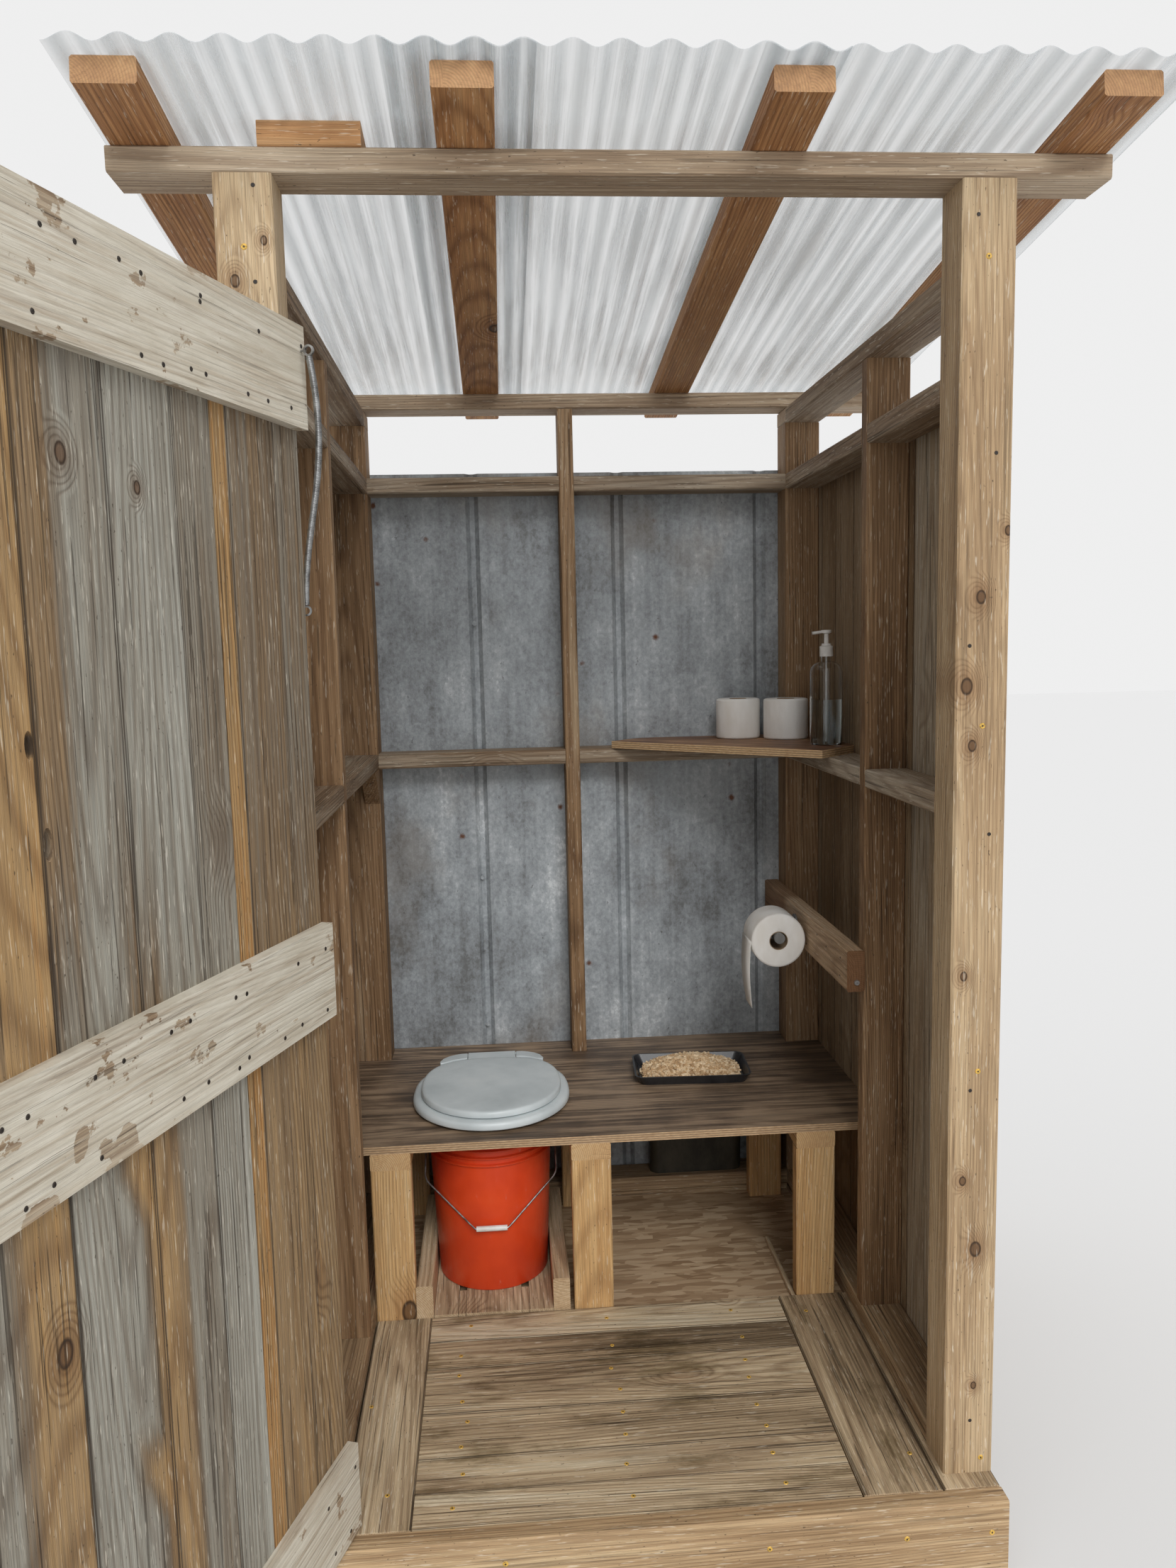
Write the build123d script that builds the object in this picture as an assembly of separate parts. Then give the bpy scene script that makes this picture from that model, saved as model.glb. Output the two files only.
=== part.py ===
from build123d import *
from math import asin, atan2, ceil, cos, degrees, floor, sin
import os

# Timber and board stock
THICK = 38  # two-inch timber, the thin side
WIDTH = 89  # four-inch timber, and the side of a square post
JOIST = 140  # six-inch timber, stood on edge in the floor
BOARD = 19  # one-inch boards
DECK_BOARD = 25  # floor boards
SHEET_FLOOR = 11  # sheet under the bench, lower than the boards round it
PLY = 18  # plywood of the bench and the shelf
EASE = 3  # flat planed off a timber's long edges
FIT = 1  # gap left in a butt joint or round a notch

# Frame, over the outer faces of the posts; heights are above the deck
FRAME_WIDTH = 1250
FRAME_DEPTH = 1240
FRONT_POST = 2213
ROOF_FALL = 160  # the rear posts are this much shorter than the front ones
STUD_SETBACK = 477  # front of the frame to the side studs
REAR_STUD_LEFT = 574  # left face of the frame to the rear stud
MID_GIRT = 1188
UPPER_GIRT_DROP = 166  # top of the rear posts to the upper girts' lower face
BEAM_LENGTH = 1558  # header and rear beam, past the posts at both ends
GUSSET_LEG = 90

# Floor
DECK_LIP = 37  # deck and joists stand this far in front of the posts
FIELD_LEFT = 213  # left face of the frame to the two joists that the deck boards end on
FIELD_RIGHT = 1002

# Roof
RAFTER_COUNT = 4
RAFTER_LENGTH = 1524
RAFTER_OVERHANG = 155  # along the slope, in front of the header
RAFTER_INSET = 7  # outer rafters, inside the header's ends
BLOCK_START = 224  # header's left end to the off-cut block
BLOCK_LENGTH = 155
SHEET_WIDTH = 660
SHEET_LENGTH = 1600
SHEET_PITCH = 67.7
SHEET_RISE = 13
SHEET_GAUGE = 1.2
SHEET_OVERHANG = 30  # past the rafters' front ends
SHEET_EDGE = 27  # past the left rafter
LEFT_LAP = 218
RIGHT_LAP = 122
SEAT = 0.3  # play under a curved sheet

# Walls
WALL_SETBACK = 45  # side boards start halfway along the front posts
WALL_FOOT = 30  # ground to the lower edge of the side boards and the rear sheet
WALL_DROP = 113  # top of the rear posts to the top of the side boards
METAL_RISE = 6  # rear sheet over the side boards
METAL = 1
RIB_FIRST = 349  # left face of the frame to the first rib
RIB_PITCH = 381
RIB_BASE = 34
RIB_TIP = 12
RIB_DEPTH = 11

# Bench
BENCH_FRONT = 600  # front of the frame to the bench
BENCH_HEIGHT = 407
RIGHT_LEG_GAP = 25  # right legs to the right-hand plate
BUCKET_Y = 815
CRADLE_PLAY = 2  # between the bucket and the rails at its sides
CRADLE_LEG_GAP = 10  # right rail to the middle leg
CRADLE_RAIL = 445
CRADLE_BOARD = 350
CRADLE_CENTRE = 126  # width of the middle board
CRADLE_SLOT = 18  # between it and the boards beside it
CRADLE_FILLER = 95  # short pieces that close the slots in front
BENCH_HOLE = 125  # radius

# Toilet seat and lid
SEAT_SHIFT = 6  # seat's middle, right of the bucket's
SEAT_Y = 840  # widest place of the seat
SEAT_HALF = 188
SEAT_FRONT = 200
SEAT_REAR = 190
SEAT_THICK = 20
SEAT_PAD = 5
SEAT_PAD_RADIUS = 10
SEAT_BEVEL = 7  # planed off the upper edge, for its rounding
SEAT_HOLE_HALF = 108
SEAT_HOLE_LONG = 135
LID_MARGIN = 20  # seat edge that shows round the lid
LID_THICK = 17
LID_BEVEL = 6
REAR_FLAT = 84  # half the straight edge at the back
HINGE_EAR = 8  # half the width of each ear and of the knuckle between them
HINGE_PIN = 4  # radius
HINGE_PLAY = 0.3
HINGE_BACK = 28  # pin behind the lid
HINGE_HALF = 70

# Bucket
BUCKET_HEIGHT = 368
BUCKET_FOOT = 130
BUCKET_NECK = 144
BUCKET_RIM = 151
BUCKET_WALL = 2.4
BAND_ZONE = 58  # from the rim down to the lowest band
BAND_COUNT = 2
BAND = 6
EAR_DROP = 66
EAR = 11
EAR_REACH = 8
WIRE = 2  # radius
BAIL_REACH = 204
BAIL_HALF = 155
BAIL_STRAIGHT = 80
BAIL_BEND = 40
GRIP = 6.3
GRIP_BORE = 2.3
GRIP_LENGTH = 71
GRIP_SHOULDER = 12  # the wire steps down this far to the grip

# Shelf, paper and bottle
SHELF_LEFT = 696  # left corner, on the rear girt's front face
SHELF_NOSE_RIGHT = 110  # right face of the frame to the front corner
SHELF_NOSE_Y = 725
RAIL_HEIGHT = 752
RAIL_START = 471
PEG = 12.5
PEG_OUT = 73
PEG_Y = 905
PEG_LENGTH = 140
PEG_BEND = 19
PEG_FLANGE = 25
PEG_FLANGE_THICK = 4
ROLL = 65
ROLL_CORE = 21
ROLL_WIDTH = 100
ROLL_GAP = 15
PAPER_TAIL = 172
PAPER = 1.5
SPARE_ROLL = 57
SPARE_HEIGHT = 104
SPARE_RIGHT = 218  # right face of the frame to the first roll's middle
SPARE_BACK = 90
SPARE_GAP = 14
SPARE_TURN = 28  # degrees that the pair is turned towards the front
BOTTLE_RIGHT = 56
BOTTLE_Y = 885
BOTTLE = 39
BOTTLE_SHOULDER = 174
BOTTLE_ROUND = 24  # shoulder's rounding
BOTTLE_NECK = 12.5
BOTTLE_HEIGHT = 215
COLLAR = 16
COLLAR_HEIGHT = 22
PUMP_STEM = 5.5
PUMP_RISE = 31
SPOUT_REACH = 34
SPOUT = 7

# Tray of pellets and bin
TRAY_RIGHT = 388
TRAY_Y = 950
TRAY_LENGTH = 290
TRAY_WIDTH = 172
TRAY_HEIGHT = 24
TRAY_WALL = 3
TRAY_FLARE = 12
TRAY_ROUND = 22
TRAY_TURN = 3  # degrees
PELLET_CROWN = 22
CREST_LENGTH = 130
CREST_WIDTH = 50
BIN_RIGHT = 472  # right face of the frame to the bin's left end
BIN_WIDTH = 266
BIN_DEPTH = 74
BIN_HEIGHT = 310
BIN_ROUND = 26
BIN_FLARE = 6

# Door
DOOR_GAP = 6
DOOR_FOOT = 8
DOOR_HEIGHT = 1974
BATTEN = 152
MIDDLE_BATTEN = 902  # foot of the door to the middle batten
DOOR_OPEN = 108.6  # degrees from shut, as it stands
KNUCKLE = 6
STRAP = 2.5
STRAP_LENGTH = 380
STRAP_ROOT = 52
STRAP_TIP = 24
HINGE_PLATE = 34
HINGE_PLATE_TALL = 78
KNUCKLE_GAP = 0.25
PIN = 3
EYE = 7  # screw eyes at both ends of the spring
EYE_WIRE = 1.5
EYE_OUT = 13
EYE_IN = 12  # leaf's hinge edge to the upper eye
EYE_DROP = 38  # head of the door to the upper eye
SPRING = 4.3
SPRING_FOOT = 1560
SPRING_BACK = 45  # front of the frame to the lower eye
SPRING_END = 130
SPRING_BEND = 200

# Places worked out from the sizes above
left = -FRAME_WIDTH / 2
right = FRAME_WIDTH / 2
front = -FRAME_DEPTH / 2
back = FRAME_DEPTH / 2
in_left = left + WIDTH
in_right = right - WIDTH
in_back = back - WIDTH
rear_post = FRONT_POST - ROOF_FALL
wall_top = rear_post - WALL_DROP
deck = JOIST + DECK_BOARD
bay = JOIST + SHEET_FLOOR
stud = (front + STUD_SETBACK, front + STUD_SETBACK + THICK)
rear_stud = (left + REAR_STUD_LEFT, left + REAR_STUD_LEFT + THICK)
header_top = deck + FRONT_POST + THICK
plate_top = deck + rear_post + THICK
beam_top = plate_top + THICK
slope = atan2(header_top - beam_top, in_back - front)
roof = Plane((0, front, header_top), x_dir=(1, 0, 0), z_dir=(0, sin(slope), cos(slope)))
rafter_first = -BEAM_LENGTH / 2 + RAFTER_INSET
rafter_step = (BEAM_LENGTH - 2 * RAFTER_INSET - WIDTH) / (RAFTER_COUNT - 1)
bench = deck + BENCH_HEIGHT
bench_front = front + BENCH_FRONT
bearer_top = bench - PLY
cradle_foot = bay + BOARD
cradle_flare = (BUCKET_NECK - BUCKET_FOOT) * (WIDTH - BOARD) / (BUCKET_HEIGHT - BAND_ZONE)
cradle = BUCKET_FOOT + cradle_flare + CRADLE_PLAY
bucket_x = in_left + FIT + WIDTH + THICK + cradle
bucket_y = front + BUCKET_Y
leg_lefts = (in_left + FIT, bucket_x + cradle + THICK + CRADLE_LEG_GAP, in_right - RIGHT_LEG_GAP - WIDTH)
seat_x = bucket_x + SEAT_SHIFT
seat_y = front + SEAT_Y
shelf_base = deck + MID_GIRT + THICK
shelf_top = shelf_base + PLY
door_pivot = (in_left + FIT / 2, front - KNUCKLE)
parts = {}


def slab(x, y, z):
    """A plain block that fills the span (low, high) on each axis."""
    block = Box(x[1] - x[0], y[1] - y[0], z[1] - z[0], align=(Align.MIN, Align.MIN, Align.MIN))
    return Pos(x[0], y[0], z[0]) * block


def timber(x, y, z):
    """A straight stick between the same spans, its four long edges planed off."""
    sizes = [high - low for low, high in (x, y, z)]
    grain = (Axis.X, Axis.Y, Axis.Z)[sizes.index(max(sizes))]
    return chamfer(slab(x, y, z).edges().filter_by(grain), EASE)


def group(*pieces):
    """Like pieces that don't touch, kept together as one node."""
    return Compound(children=[solid for piece in pieces for solid in piece.solids()])


def mirrored(x):
    """The same span on the other side of the middle."""
    return (-x[1], -x[0])


def floor_pieces():
    """Joists on the ground, the sill in front of them, the deck and the sheet floor under the bench."""
    lip = front - DECK_LIP
    joists = [timber(x, (lip, back), (0, JOIST)) for x in ((left, in_left), (in_right, right))]
    for middle in (left + FIELD_LEFT, 0, left + FIELD_RIGHT):
        joists.append(timber((middle - THICK / 2, middle + THICK / 2), (lip, back), (0, JOIST)))
    parts["floor_joists"] = group(*joists)
    parts["front_sill"] = timber((left, right), (lip - THICK, lip), (deck - JOIST, deck))
    parts["floor_deck"] = slab((left, right), (lip, bench_front - FIT), (JOIST, deck))
    board = (JOIST, deck)
    parts["floor_border"] = group(
        slab((left, in_left), (bench_front, back), board),
        slab((in_left + FIT, in_right - FIT), (in_back, back), board),
        slab((in_right, right), (bench_front, back), board),
    )
    parts["bay_floor"] = slab((in_left + FIT, in_right - FIT), (bench_front, in_back - FIT), (JOIST, bay))


def frame_pieces():
    """Posts, studs and plates, the header, the rear beam and the girts between the posts."""
    post_x = (left, in_left)
    front_y = (front, front + WIDTH)
    rear_y = (in_back, back)
    stud_foot = deck + THICK
    for side, x in (("left", post_x), ("right", mirrored(post_x))):
        parts[f"front_post_{side}"] = timber(x, front_y, (deck, deck + FRONT_POST))
        parts[f"rear_post_{side}"] = timber(x, rear_y, (deck, deck + rear_post))
        parts[f"side_stud_{side}"] = timber(x, stud, (stud_foot, deck + rear_post))
    parts["rear_stud"] = timber(rear_stud, rear_y, (stud_foot, plate_top))
    side_run = (front + WIDTH, in_back)
    parts["bottom_plates"] = group(
        timber(post_x, side_run, (deck, stud_foot)),
        timber(mirrored(post_x), side_run, (deck, stud_foot)),
        timber((in_left, in_right), rear_y, (deck, stud_foot)),
    )
    butt = (stud[0] + stud[1]) / 2
    plate_z = (deck + rear_post, plate_top)
    plates = []
    for x in (post_x, mirrored(post_x)):
        plates.append(timber(x, (front + WIDTH, butt - FIT / 2), plate_z))
        plates.append(timber(x, (butt + FIT / 2, back), plate_z))
    parts["top_plates"] = group(*plates)
    beam_x = (-BEAM_LENGTH / 2, BEAM_LENGTH / 2)
    parts["header"] = timber(beam_x, front_y, (header_top - THICK, header_top))
    parts["rear_beam"] = timber(beam_x, rear_y, (plate_top, beam_top))
    for name, height in (("upper_girts", rear_post - UPPER_GIRT_DROP), ("middle_girts", MID_GIRT)):
        z = (deck + height, deck + height + THICK)
        girts = [
            timber((in_left, rear_stud[0]), rear_y, z),
            timber((rear_stud[1], in_right), rear_y, z),
        ]
        for x in (post_x, mirrored(post_x)):
            girts.append(timber(x, (front + WIDTH, stud[0]), z))
            girts.append(timber(x, (stud[1], in_back), z))
        parts[name] = group(*girts)
    corner = (in_left, in_back, deck + MID_GIRT)
    gusset = Polyline((0, 0), (-GUSSET_LEG, 0), (0, GUSSET_LEG), close=True)
    side_on = Plane(corner, x_dir=(0, 1, 0), z_dir=(-1, 0, 0))
    parts["corner_gusset"] = extrude(side_on * make_face(gusset), THICK)


def roof_pieces():
    """Rafters laid flat and notched over both beams, a block beside one, and three lapped clear sheets."""
    header_seat = slab((-BEAM_LENGTH, BEAM_LENGTH), (front, front + WIDTH), (header_top - THICK, header_top))
    beam_seat = slab((-BEAM_LENGTH, BEAM_LENGTH), (in_back, back), (beam_top - THICK, beam_top))
    run = (-RAFTER_OVERHANG, RAFTER_LENGTH - RAFTER_OVERHANG)
    for number in range(RAFTER_COUNT):
        low = rafter_first + number * rafter_step
        rafter = roof * timber((low, low + WIDTH), run, (0, THICK))
        parts[f"rafter_{number + 1}"] = rafter - header_seat - beam_seat
    block_left = -BEAM_LENGTH / 2 + BLOCK_START
    block_x = (block_left, block_left + BLOCK_LENGTH)
    block = timber(block_x, (front, front + WIDTH), (header_top, header_top + THICK))
    above = roof * slab((-BEAM_LENGTH, BEAM_LENGTH), (-WIDTH, 2 * WIDTH), (THICK, 3 * THICK))
    parts["header_block"] = block - above
    low = rafter_first - SHEET_EDGE
    wave_start = low - SHEET_PITCH / 4
    lift = SHEET_GAUGE + SEAT
    middle = low + SHEET_WIDTH - LEFT_LAP
    places = (low, middle, middle + SHEET_WIDTH - RIGHT_LAP)
    for name, place, rest in zip(("left", "middle", "right"), places, (0, lift, 0)):
        parts[f"roof_sheet_{name}"] = corrugated_sheet(wave_start, place, THICK + SEAT + rest)


def corrugated_sheet(wave_start, low, base):
    """One roof sheet with its waves in step with the others, at a height over the rafters' underside."""
    half = SHEET_PITCH / 2
    high = low + SHEET_WIDTH
    waves = range(floor((low - wave_start) / half), ceil((high - wave_start) / half))
    middle = base + SHEET_RISE / 2
    start = -RAFTER_OVERHANG - SHEET_OVERHANG
    edges = []
    for lift in (0, SHEET_GAUGE):
        for wave in waves:
            x = wave_start + wave * half
            swing = SHEET_RISE / 2 * (1 if wave % 2 else -1)
            points = [(x, start, middle + lift), (x + half / 2, start, middle + lift + swing)]
            edges.append(ThreePointArc(*points, (x + half, start, middle + lift)))
    for end in (wave_start + waves[0] * half, wave_start + (waves[-1] + 1) * half):
        edges.append(Line((end, start, middle), (end, start, middle + SHEET_GAUGE)))
    web = extrude(make_face(edges), SHEET_LENGTH, dir=(0, 1, 0))
    cut = slab((low, high), (start - 1, start + SHEET_LENGTH + 1), (base - 1, base + SHEET_RISE + THICK))
    return roof * (web & cut)


def wall_pieces():
    """Upright boards nailed over the side frames, and one ribbed metal sheet behind the back."""
    run = (front + WALL_SETBACK, back)
    height = (WALL_FOOT, deck + wall_top)
    parts["left_wall"] = slab((left - BOARD, left), run, height)
    parts["right_wall"] = slab((right, right + BOARD), run, height)
    low = left - BOARD
    high = right + BOARD
    inner = [(low, back)]
    ribs = floor((FRAME_WIDTH - RIB_FIRST - RIB_BASE) / RIB_PITCH) + 1
    for number in range(ribs):
        middle = left + RIB_FIRST + number * RIB_PITCH
        for reach, depth in ((-RIB_BASE, 0), (-RIB_TIP, RIB_DEPTH), (RIB_TIP, RIB_DEPTH), (RIB_BASE, 0)):
            inner.append((middle + reach / 2, back + depth))
    inner.append((high, back))
    outer = [(x, y + METAL) for x, y in reversed(inner)]
    outline = make_face(Polyline(*inner, *outer, close=True))
    parts["rear_wall"] = Pos(0, 0, WALL_FOOT) * extrude(outline, deck + wall_top + METAL_RISE - WALL_FOOT)


def bench_pieces():
    """Plywood bench on three bearers, each with a front and a rear leg."""
    top = slab((left + FIT, right - FIT), (bench_front, back - FIT), (bearer_top, bench))
    notch_y = (in_back - FIT, back)
    for x in ((left, in_left + FIT), (in_right - FIT, right), (rear_stud[0] - FIT, rear_stud[1] + FIT)):
        top -= slab(x, notch_y, (bearer_top, bench))
    top -= Pos(bucket_x, bucket_y, bench - PLY / 2) * Cylinder(BENCH_HOLE, 2 * PLY)
    parts["bench_top"] = top
    bearers = []
    legs = []
    for place in leg_lefts:
        x = (place, place + WIDTH)
        bearers.append(timber(x, (bench_front, in_back - FIT), (bearer_top - THICK, bearer_top)))
        for y in (bench_front, in_back - FIT - THICK):
            legs.append(timber(x, (y, y + THICK), (bay, bearer_top - THICK)))
    parts["bench_bearers"] = group(*bearers)
    parts["bench_legs"] = group(*legs)


def oval(half, ahead, behind):
    """An outline round the widest place: half an ellipse in front, a flat with round corners behind."""
    corner = half - REAR_FLAT
    return make_face(
        [
            EllipticalCenterArc((0, 0), half, ahead, 180, arc_size=180),
            EllipticalCenterArc((REAR_FLAT, 0), corner, behind, 0, arc_size=90),
            Line((REAR_FLAT, behind), (-REAR_FLAT, behind)),
            EllipticalCenterArc((-REAR_FLAT, 0), corner, behind, 90, arc_size=90),
        ]
    )


def toilet_pieces():
    """Seat ring on pads with a hinge pin behind it, and the lid that turns on the pin."""
    lid_front = SEAT_FRONT - LID_MARGIN
    lid_rear = SEAT_REAR - FIT
    pin_y = lid_rear + HINGE_BACK
    pin_z = SEAT_PAD + SEAT_THICK + FIT + LID_THICK / 2
    base = Pos(seat_x, seat_y, bench)
    ring = extrude(oval(SEAT_HALF, SEAT_FRONT, SEAT_REAR), SEAT_THICK)
    ring = chamfer(ring.edges().group_by(Axis.Z)[-1], SEAT_BEVEL)
    ring -= extrude(Ellipse(SEAT_HOLE_HALF, SEAT_HOLE_LONG), SEAT_THICK)
    ring = Pos(0, 0, SEAT_PAD) * ring
    pad_x = (SEAT_HALF + SEAT_HOLE_HALF) / 2
    pad_y = SEAT_HOLE_LONG / 2
    for x, y in ((-pad_x, -pad_y), (-pad_x, pad_y), (pad_x, -pad_y), (pad_x, pad_y)):
        ring += Pos(x, y, SEAT_PAD / 2) * Cylinder(SEAT_PAD_RADIUS, SEAT_PAD)
    post = HINGE_EAR
    for side in (-1, 1):
        ear = slab((-post, post), (SEAT_REAR - post, pin_y + post), (SEAT_PAD, pin_z + post))
        ear = fillet(ear.edges().filter_by(Axis.X).group_by(Axis.Z)[-1], HINGE_PIN)
        ring += Pos(side * HINGE_HALF, 0, 0) * ear
    ring += Pos(0, pin_y, pin_z) * Rot(0, 90, 0) * Cylinder(HINGE_PIN, 2 * HINGE_HALF)
    parts["toilet_seat"] = base * ring
    lid = extrude(oval(SEAT_HALF - LID_MARGIN, lid_front, lid_rear), LID_THICK)
    lid = chamfer(lid.edges().group_by(Axis.Z)[-1], LID_BEVEL)
    lid = Pos(0, 0, SEAT_PAD + SEAT_THICK + FIT) * lid
    reach = HINGE_HALF - post - FIT
    notch = HINGE_HALF + post + FIT
    clear = slab((-notch, notch), (SEAT_REAR - post - FIT, pin_y), (0, bench))
    lid -= clear
    knuckle = Pos(0, pin_y, pin_z) * Rot(0, 90, 0) * Cylinder(post, 2 * reach)
    leaf = slab((-reach, reach), (SEAT_REAR - post - FIT, pin_y), (pin_z - HINGE_PIN, pin_z + HINGE_PIN))
    lid = lid + knuckle + leaf
    lid -= Pos(0, pin_y, pin_z) * Rot(0, 90, 0) * Cylinder(HINGE_PIN + HINGE_PLAY, 2 * HINGE_HALF)
    parts["toilet_lid"] = base * lid


def bucket_pieces():
    """Tapered bucket with a banded rim, the wire bail leaning on it, and the boards and rails round it."""
    neck = BUCKET_HEIGHT - BAND_ZONE
    outline = [(0, 0), (BUCKET_FOOT, 0), (BUCKET_NECK, neck)]
    step = (BAND_ZONE - BAND) / BAND_COUNT
    for number in range(BAND_COUNT):
        low = neck + number * step
        outline += [(BUCKET_RIM, low), (BUCKET_RIM, low + BAND)]
        outline += [(BUCKET_NECK, low + BAND), (BUCKET_NECK, low + step)]
    outline += [(BUCKET_RIM, BUCKET_HEIGHT - BAND), (BUCKET_RIM, BUCKET_HEIGHT)]
    outline += [(BUCKET_NECK - BUCKET_WALL, BUCKET_HEIGHT), (BUCKET_NECK - BUCKET_WALL, neck)]
    outline += [(BUCKET_FOOT - BUCKET_WALL, BUCKET_WALL), (0, BUCKET_WALL)]
    bucket = revolve(Plane.XZ * make_face(Polyline(*outline, close=True)), Axis.Z)
    ear_z = BUCKET_HEIGHT - EAR_DROP
    ear_face = BUCKET_NECK + EAR_REACH
    for side in (-1, 1):
        ear = Rot(0, 90, 0) * Cylinder(EAR, EAR_REACH + BUCKET_WALL)
        bucket += Pos(side * (ear_face - (EAR_REACH + BUCKET_WALL) / 2), 0, ear_z) * ear
        hole = Rot(0, 90, 0) * Cylinder(WIRE + HINGE_PLAY, EAR_REACH)
        bucket -= Pos(side * (ear_face - EAR_REACH / 2 + FIT), 0, ear_z) * hole
    parts["bucket"] = Pos(bucket_x, bucket_y, cradle_foot) * bucket
    lean = degrees(asin((BUCKET_NECK + GRIP + FIT) / BAIL_REACH))
    pivot = Pos(bucket_x, bucket_y, cradle_foot + ear_z) * Rot(-lean, 0, 0)
    inside = ear_face - EAR_REACH + 2 * FIT
    half_grip = GRIP_LENGTH / 2 + WIRE
    shoulder = BAIL_REACH - GRIP_SHOULDER
    side = [(inside, 0), (BAIL_HALF, 0), (BAIL_HALF, -BAIL_STRAIGHT)]
    side += [(half_grip + GRIP_SHOULDER, -shoulder), (half_grip, -BAIL_REACH)]
    path = [(-x, z) for x, z in side] + side[::-1]
    tight = 2 * WIRE
    bends = [tight, BAIL_BEND, GRIP, GRIP, GRIP, GRIP, BAIL_BEND, tight]
    wire = FilletPolyline(*[(x, 0, z) for x, z in path], radius=bends)
    section = Plane(wire @ 0, z_dir=wire % 0) * Circle(WIRE)
    parts["bucket_bail"] = pivot * sweep(section, wire)
    grip = Cylinder(GRIP, GRIP_LENGTH) - Cylinder(GRIP_BORE, GRIP_LENGTH)
    parts["bail_grip"] = pivot * Pos(0, 0, -BAIL_REACH) * Rot(0, 90, 0) * grip
    rail_y = (bench_front, bench_front + CRADLE_RAIL)
    rails = []
    for low in (bucket_x - cradle - THICK, bucket_x + cradle):
        rails.append(timber((low, low + THICK), rail_y, (bay, bay + WIDTH)))
    parts["bucket_rails"] = group(*rails)
    board_y = (bench_front, bench_front + CRADLE_BOARD)
    filler_y = (bench_front, bench_front + CRADLE_FILLER)
    board_z = (bay, cradle_foot)
    half = CRADLE_CENTRE / 2
    boards = [slab((bucket_x - half, bucket_x + half), board_y, board_z)]
    for x in ((half + CRADLE_SLOT, cradle - FIT), (-cradle + FIT, -half - CRADLE_SLOT)):
        boards.append(slab((bucket_x + x[0], bucket_x + x[1]), board_y, board_z))
    for x in ((half + FIT, half + CRADLE_SLOT - FIT), (-half - CRADLE_SLOT + FIT, -half - FIT)):
        boards.append(slab((bucket_x + x[0], bucket_x + x[1]), filler_y, board_z))
    parts["bucket_boards"] = group(*boards)


def shelf_pieces():
    """Corner shelf on the middle girts, with two spare rolls and a pump bottle standing on it."""
    shelf_back = back - FIT
    shelf_side = right - FIT
    corner = Vector(left + SHELF_LEFT, in_back)
    nose = Vector(right - SHELF_NOSE_RIGHT, front + SHELF_NOSE_Y)
    end = (nose - corner).rotate(Axis.Z, 90).normalized()
    at_back = corner + end * ((shelf_back - corner.Y) / end.Y)
    at_side = nose + end * ((shelf_side - nose.X) / end.X)
    outline = make_face(Polyline(corner, nose, at_side, (shelf_side, shelf_back), at_back, close=True))
    shelf = Pos(0, 0, shelf_base) * extrude(outline, PLY)
    shelf -= slab((in_right - FIT, right), (in_back - FIT, back), (shelf_base, shelf_top))
    parts["corner_shelf"] = shelf
    spare = Cylinder(SPARE_ROLL, SPARE_HEIGHT) - Cylinder(ROLL_CORE, SPARE_HEIGHT)
    first = Pos(right - SPARE_RIGHT, back - SPARE_BACK, shelf_top + SPARE_HEIGHT / 2)
    second = first * Rot(0, 0, -SPARE_TURN) * Pos(2 * SPARE_ROLL + SPARE_GAP, 0, 0)
    parts["spare_rolls"] = group(first * spare, second * spare)
    dome = BOTTLE_SHOULDER + BOTTLE_ROUND
    profile = make_face(
        [
            Line((0, 0), (BOTTLE, 0)),
            Line((BOTTLE, 0), (BOTTLE, BOTTLE_SHOULDER)),
            CenterArc((BOTTLE - BOTTLE_ROUND, BOTTLE_SHOULDER), BOTTLE_ROUND, 0, 90),
            Line((BOTTLE - BOTTLE_ROUND, dome), (BOTTLE_NECK, dome)),
            Line((BOTTLE_NECK, dome), (BOTTLE_NECK, BOTTLE_HEIGHT)),
            Line((BOTTLE_NECK, BOTTLE_HEIGHT), (0, BOTTLE_HEIGHT)),
            Line((0, BOTTLE_HEIGHT), (0, 0)),
        ]
    )
    bottle = revolve(Plane.XZ * profile, Axis.Z)
    collar_top = BOTTLE_HEIGHT + COLLAR_HEIGHT
    bottle += Pos(0, 0, BOTTLE_HEIGHT + COLLAR_HEIGHT / 2) * Cylinder(COLLAR, COLLAR_HEIGHT)
    bottle += Pos(0, 0, collar_top + PUMP_RISE / 2) * Cylinder(PUMP_STEM, PUMP_RISE)
    spout_z = (collar_top + PUMP_RISE, collar_top + PUMP_RISE + SPOUT)
    bottle += slab((-SPOUT_REACH, SPOUT), (-SPOUT, SPOUT), spout_z)
    parts["pump_bottle"] = Pos(right - BOTTLE_RIGHT, front + BOTTLE_Y, shelf_top) * bottle


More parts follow.
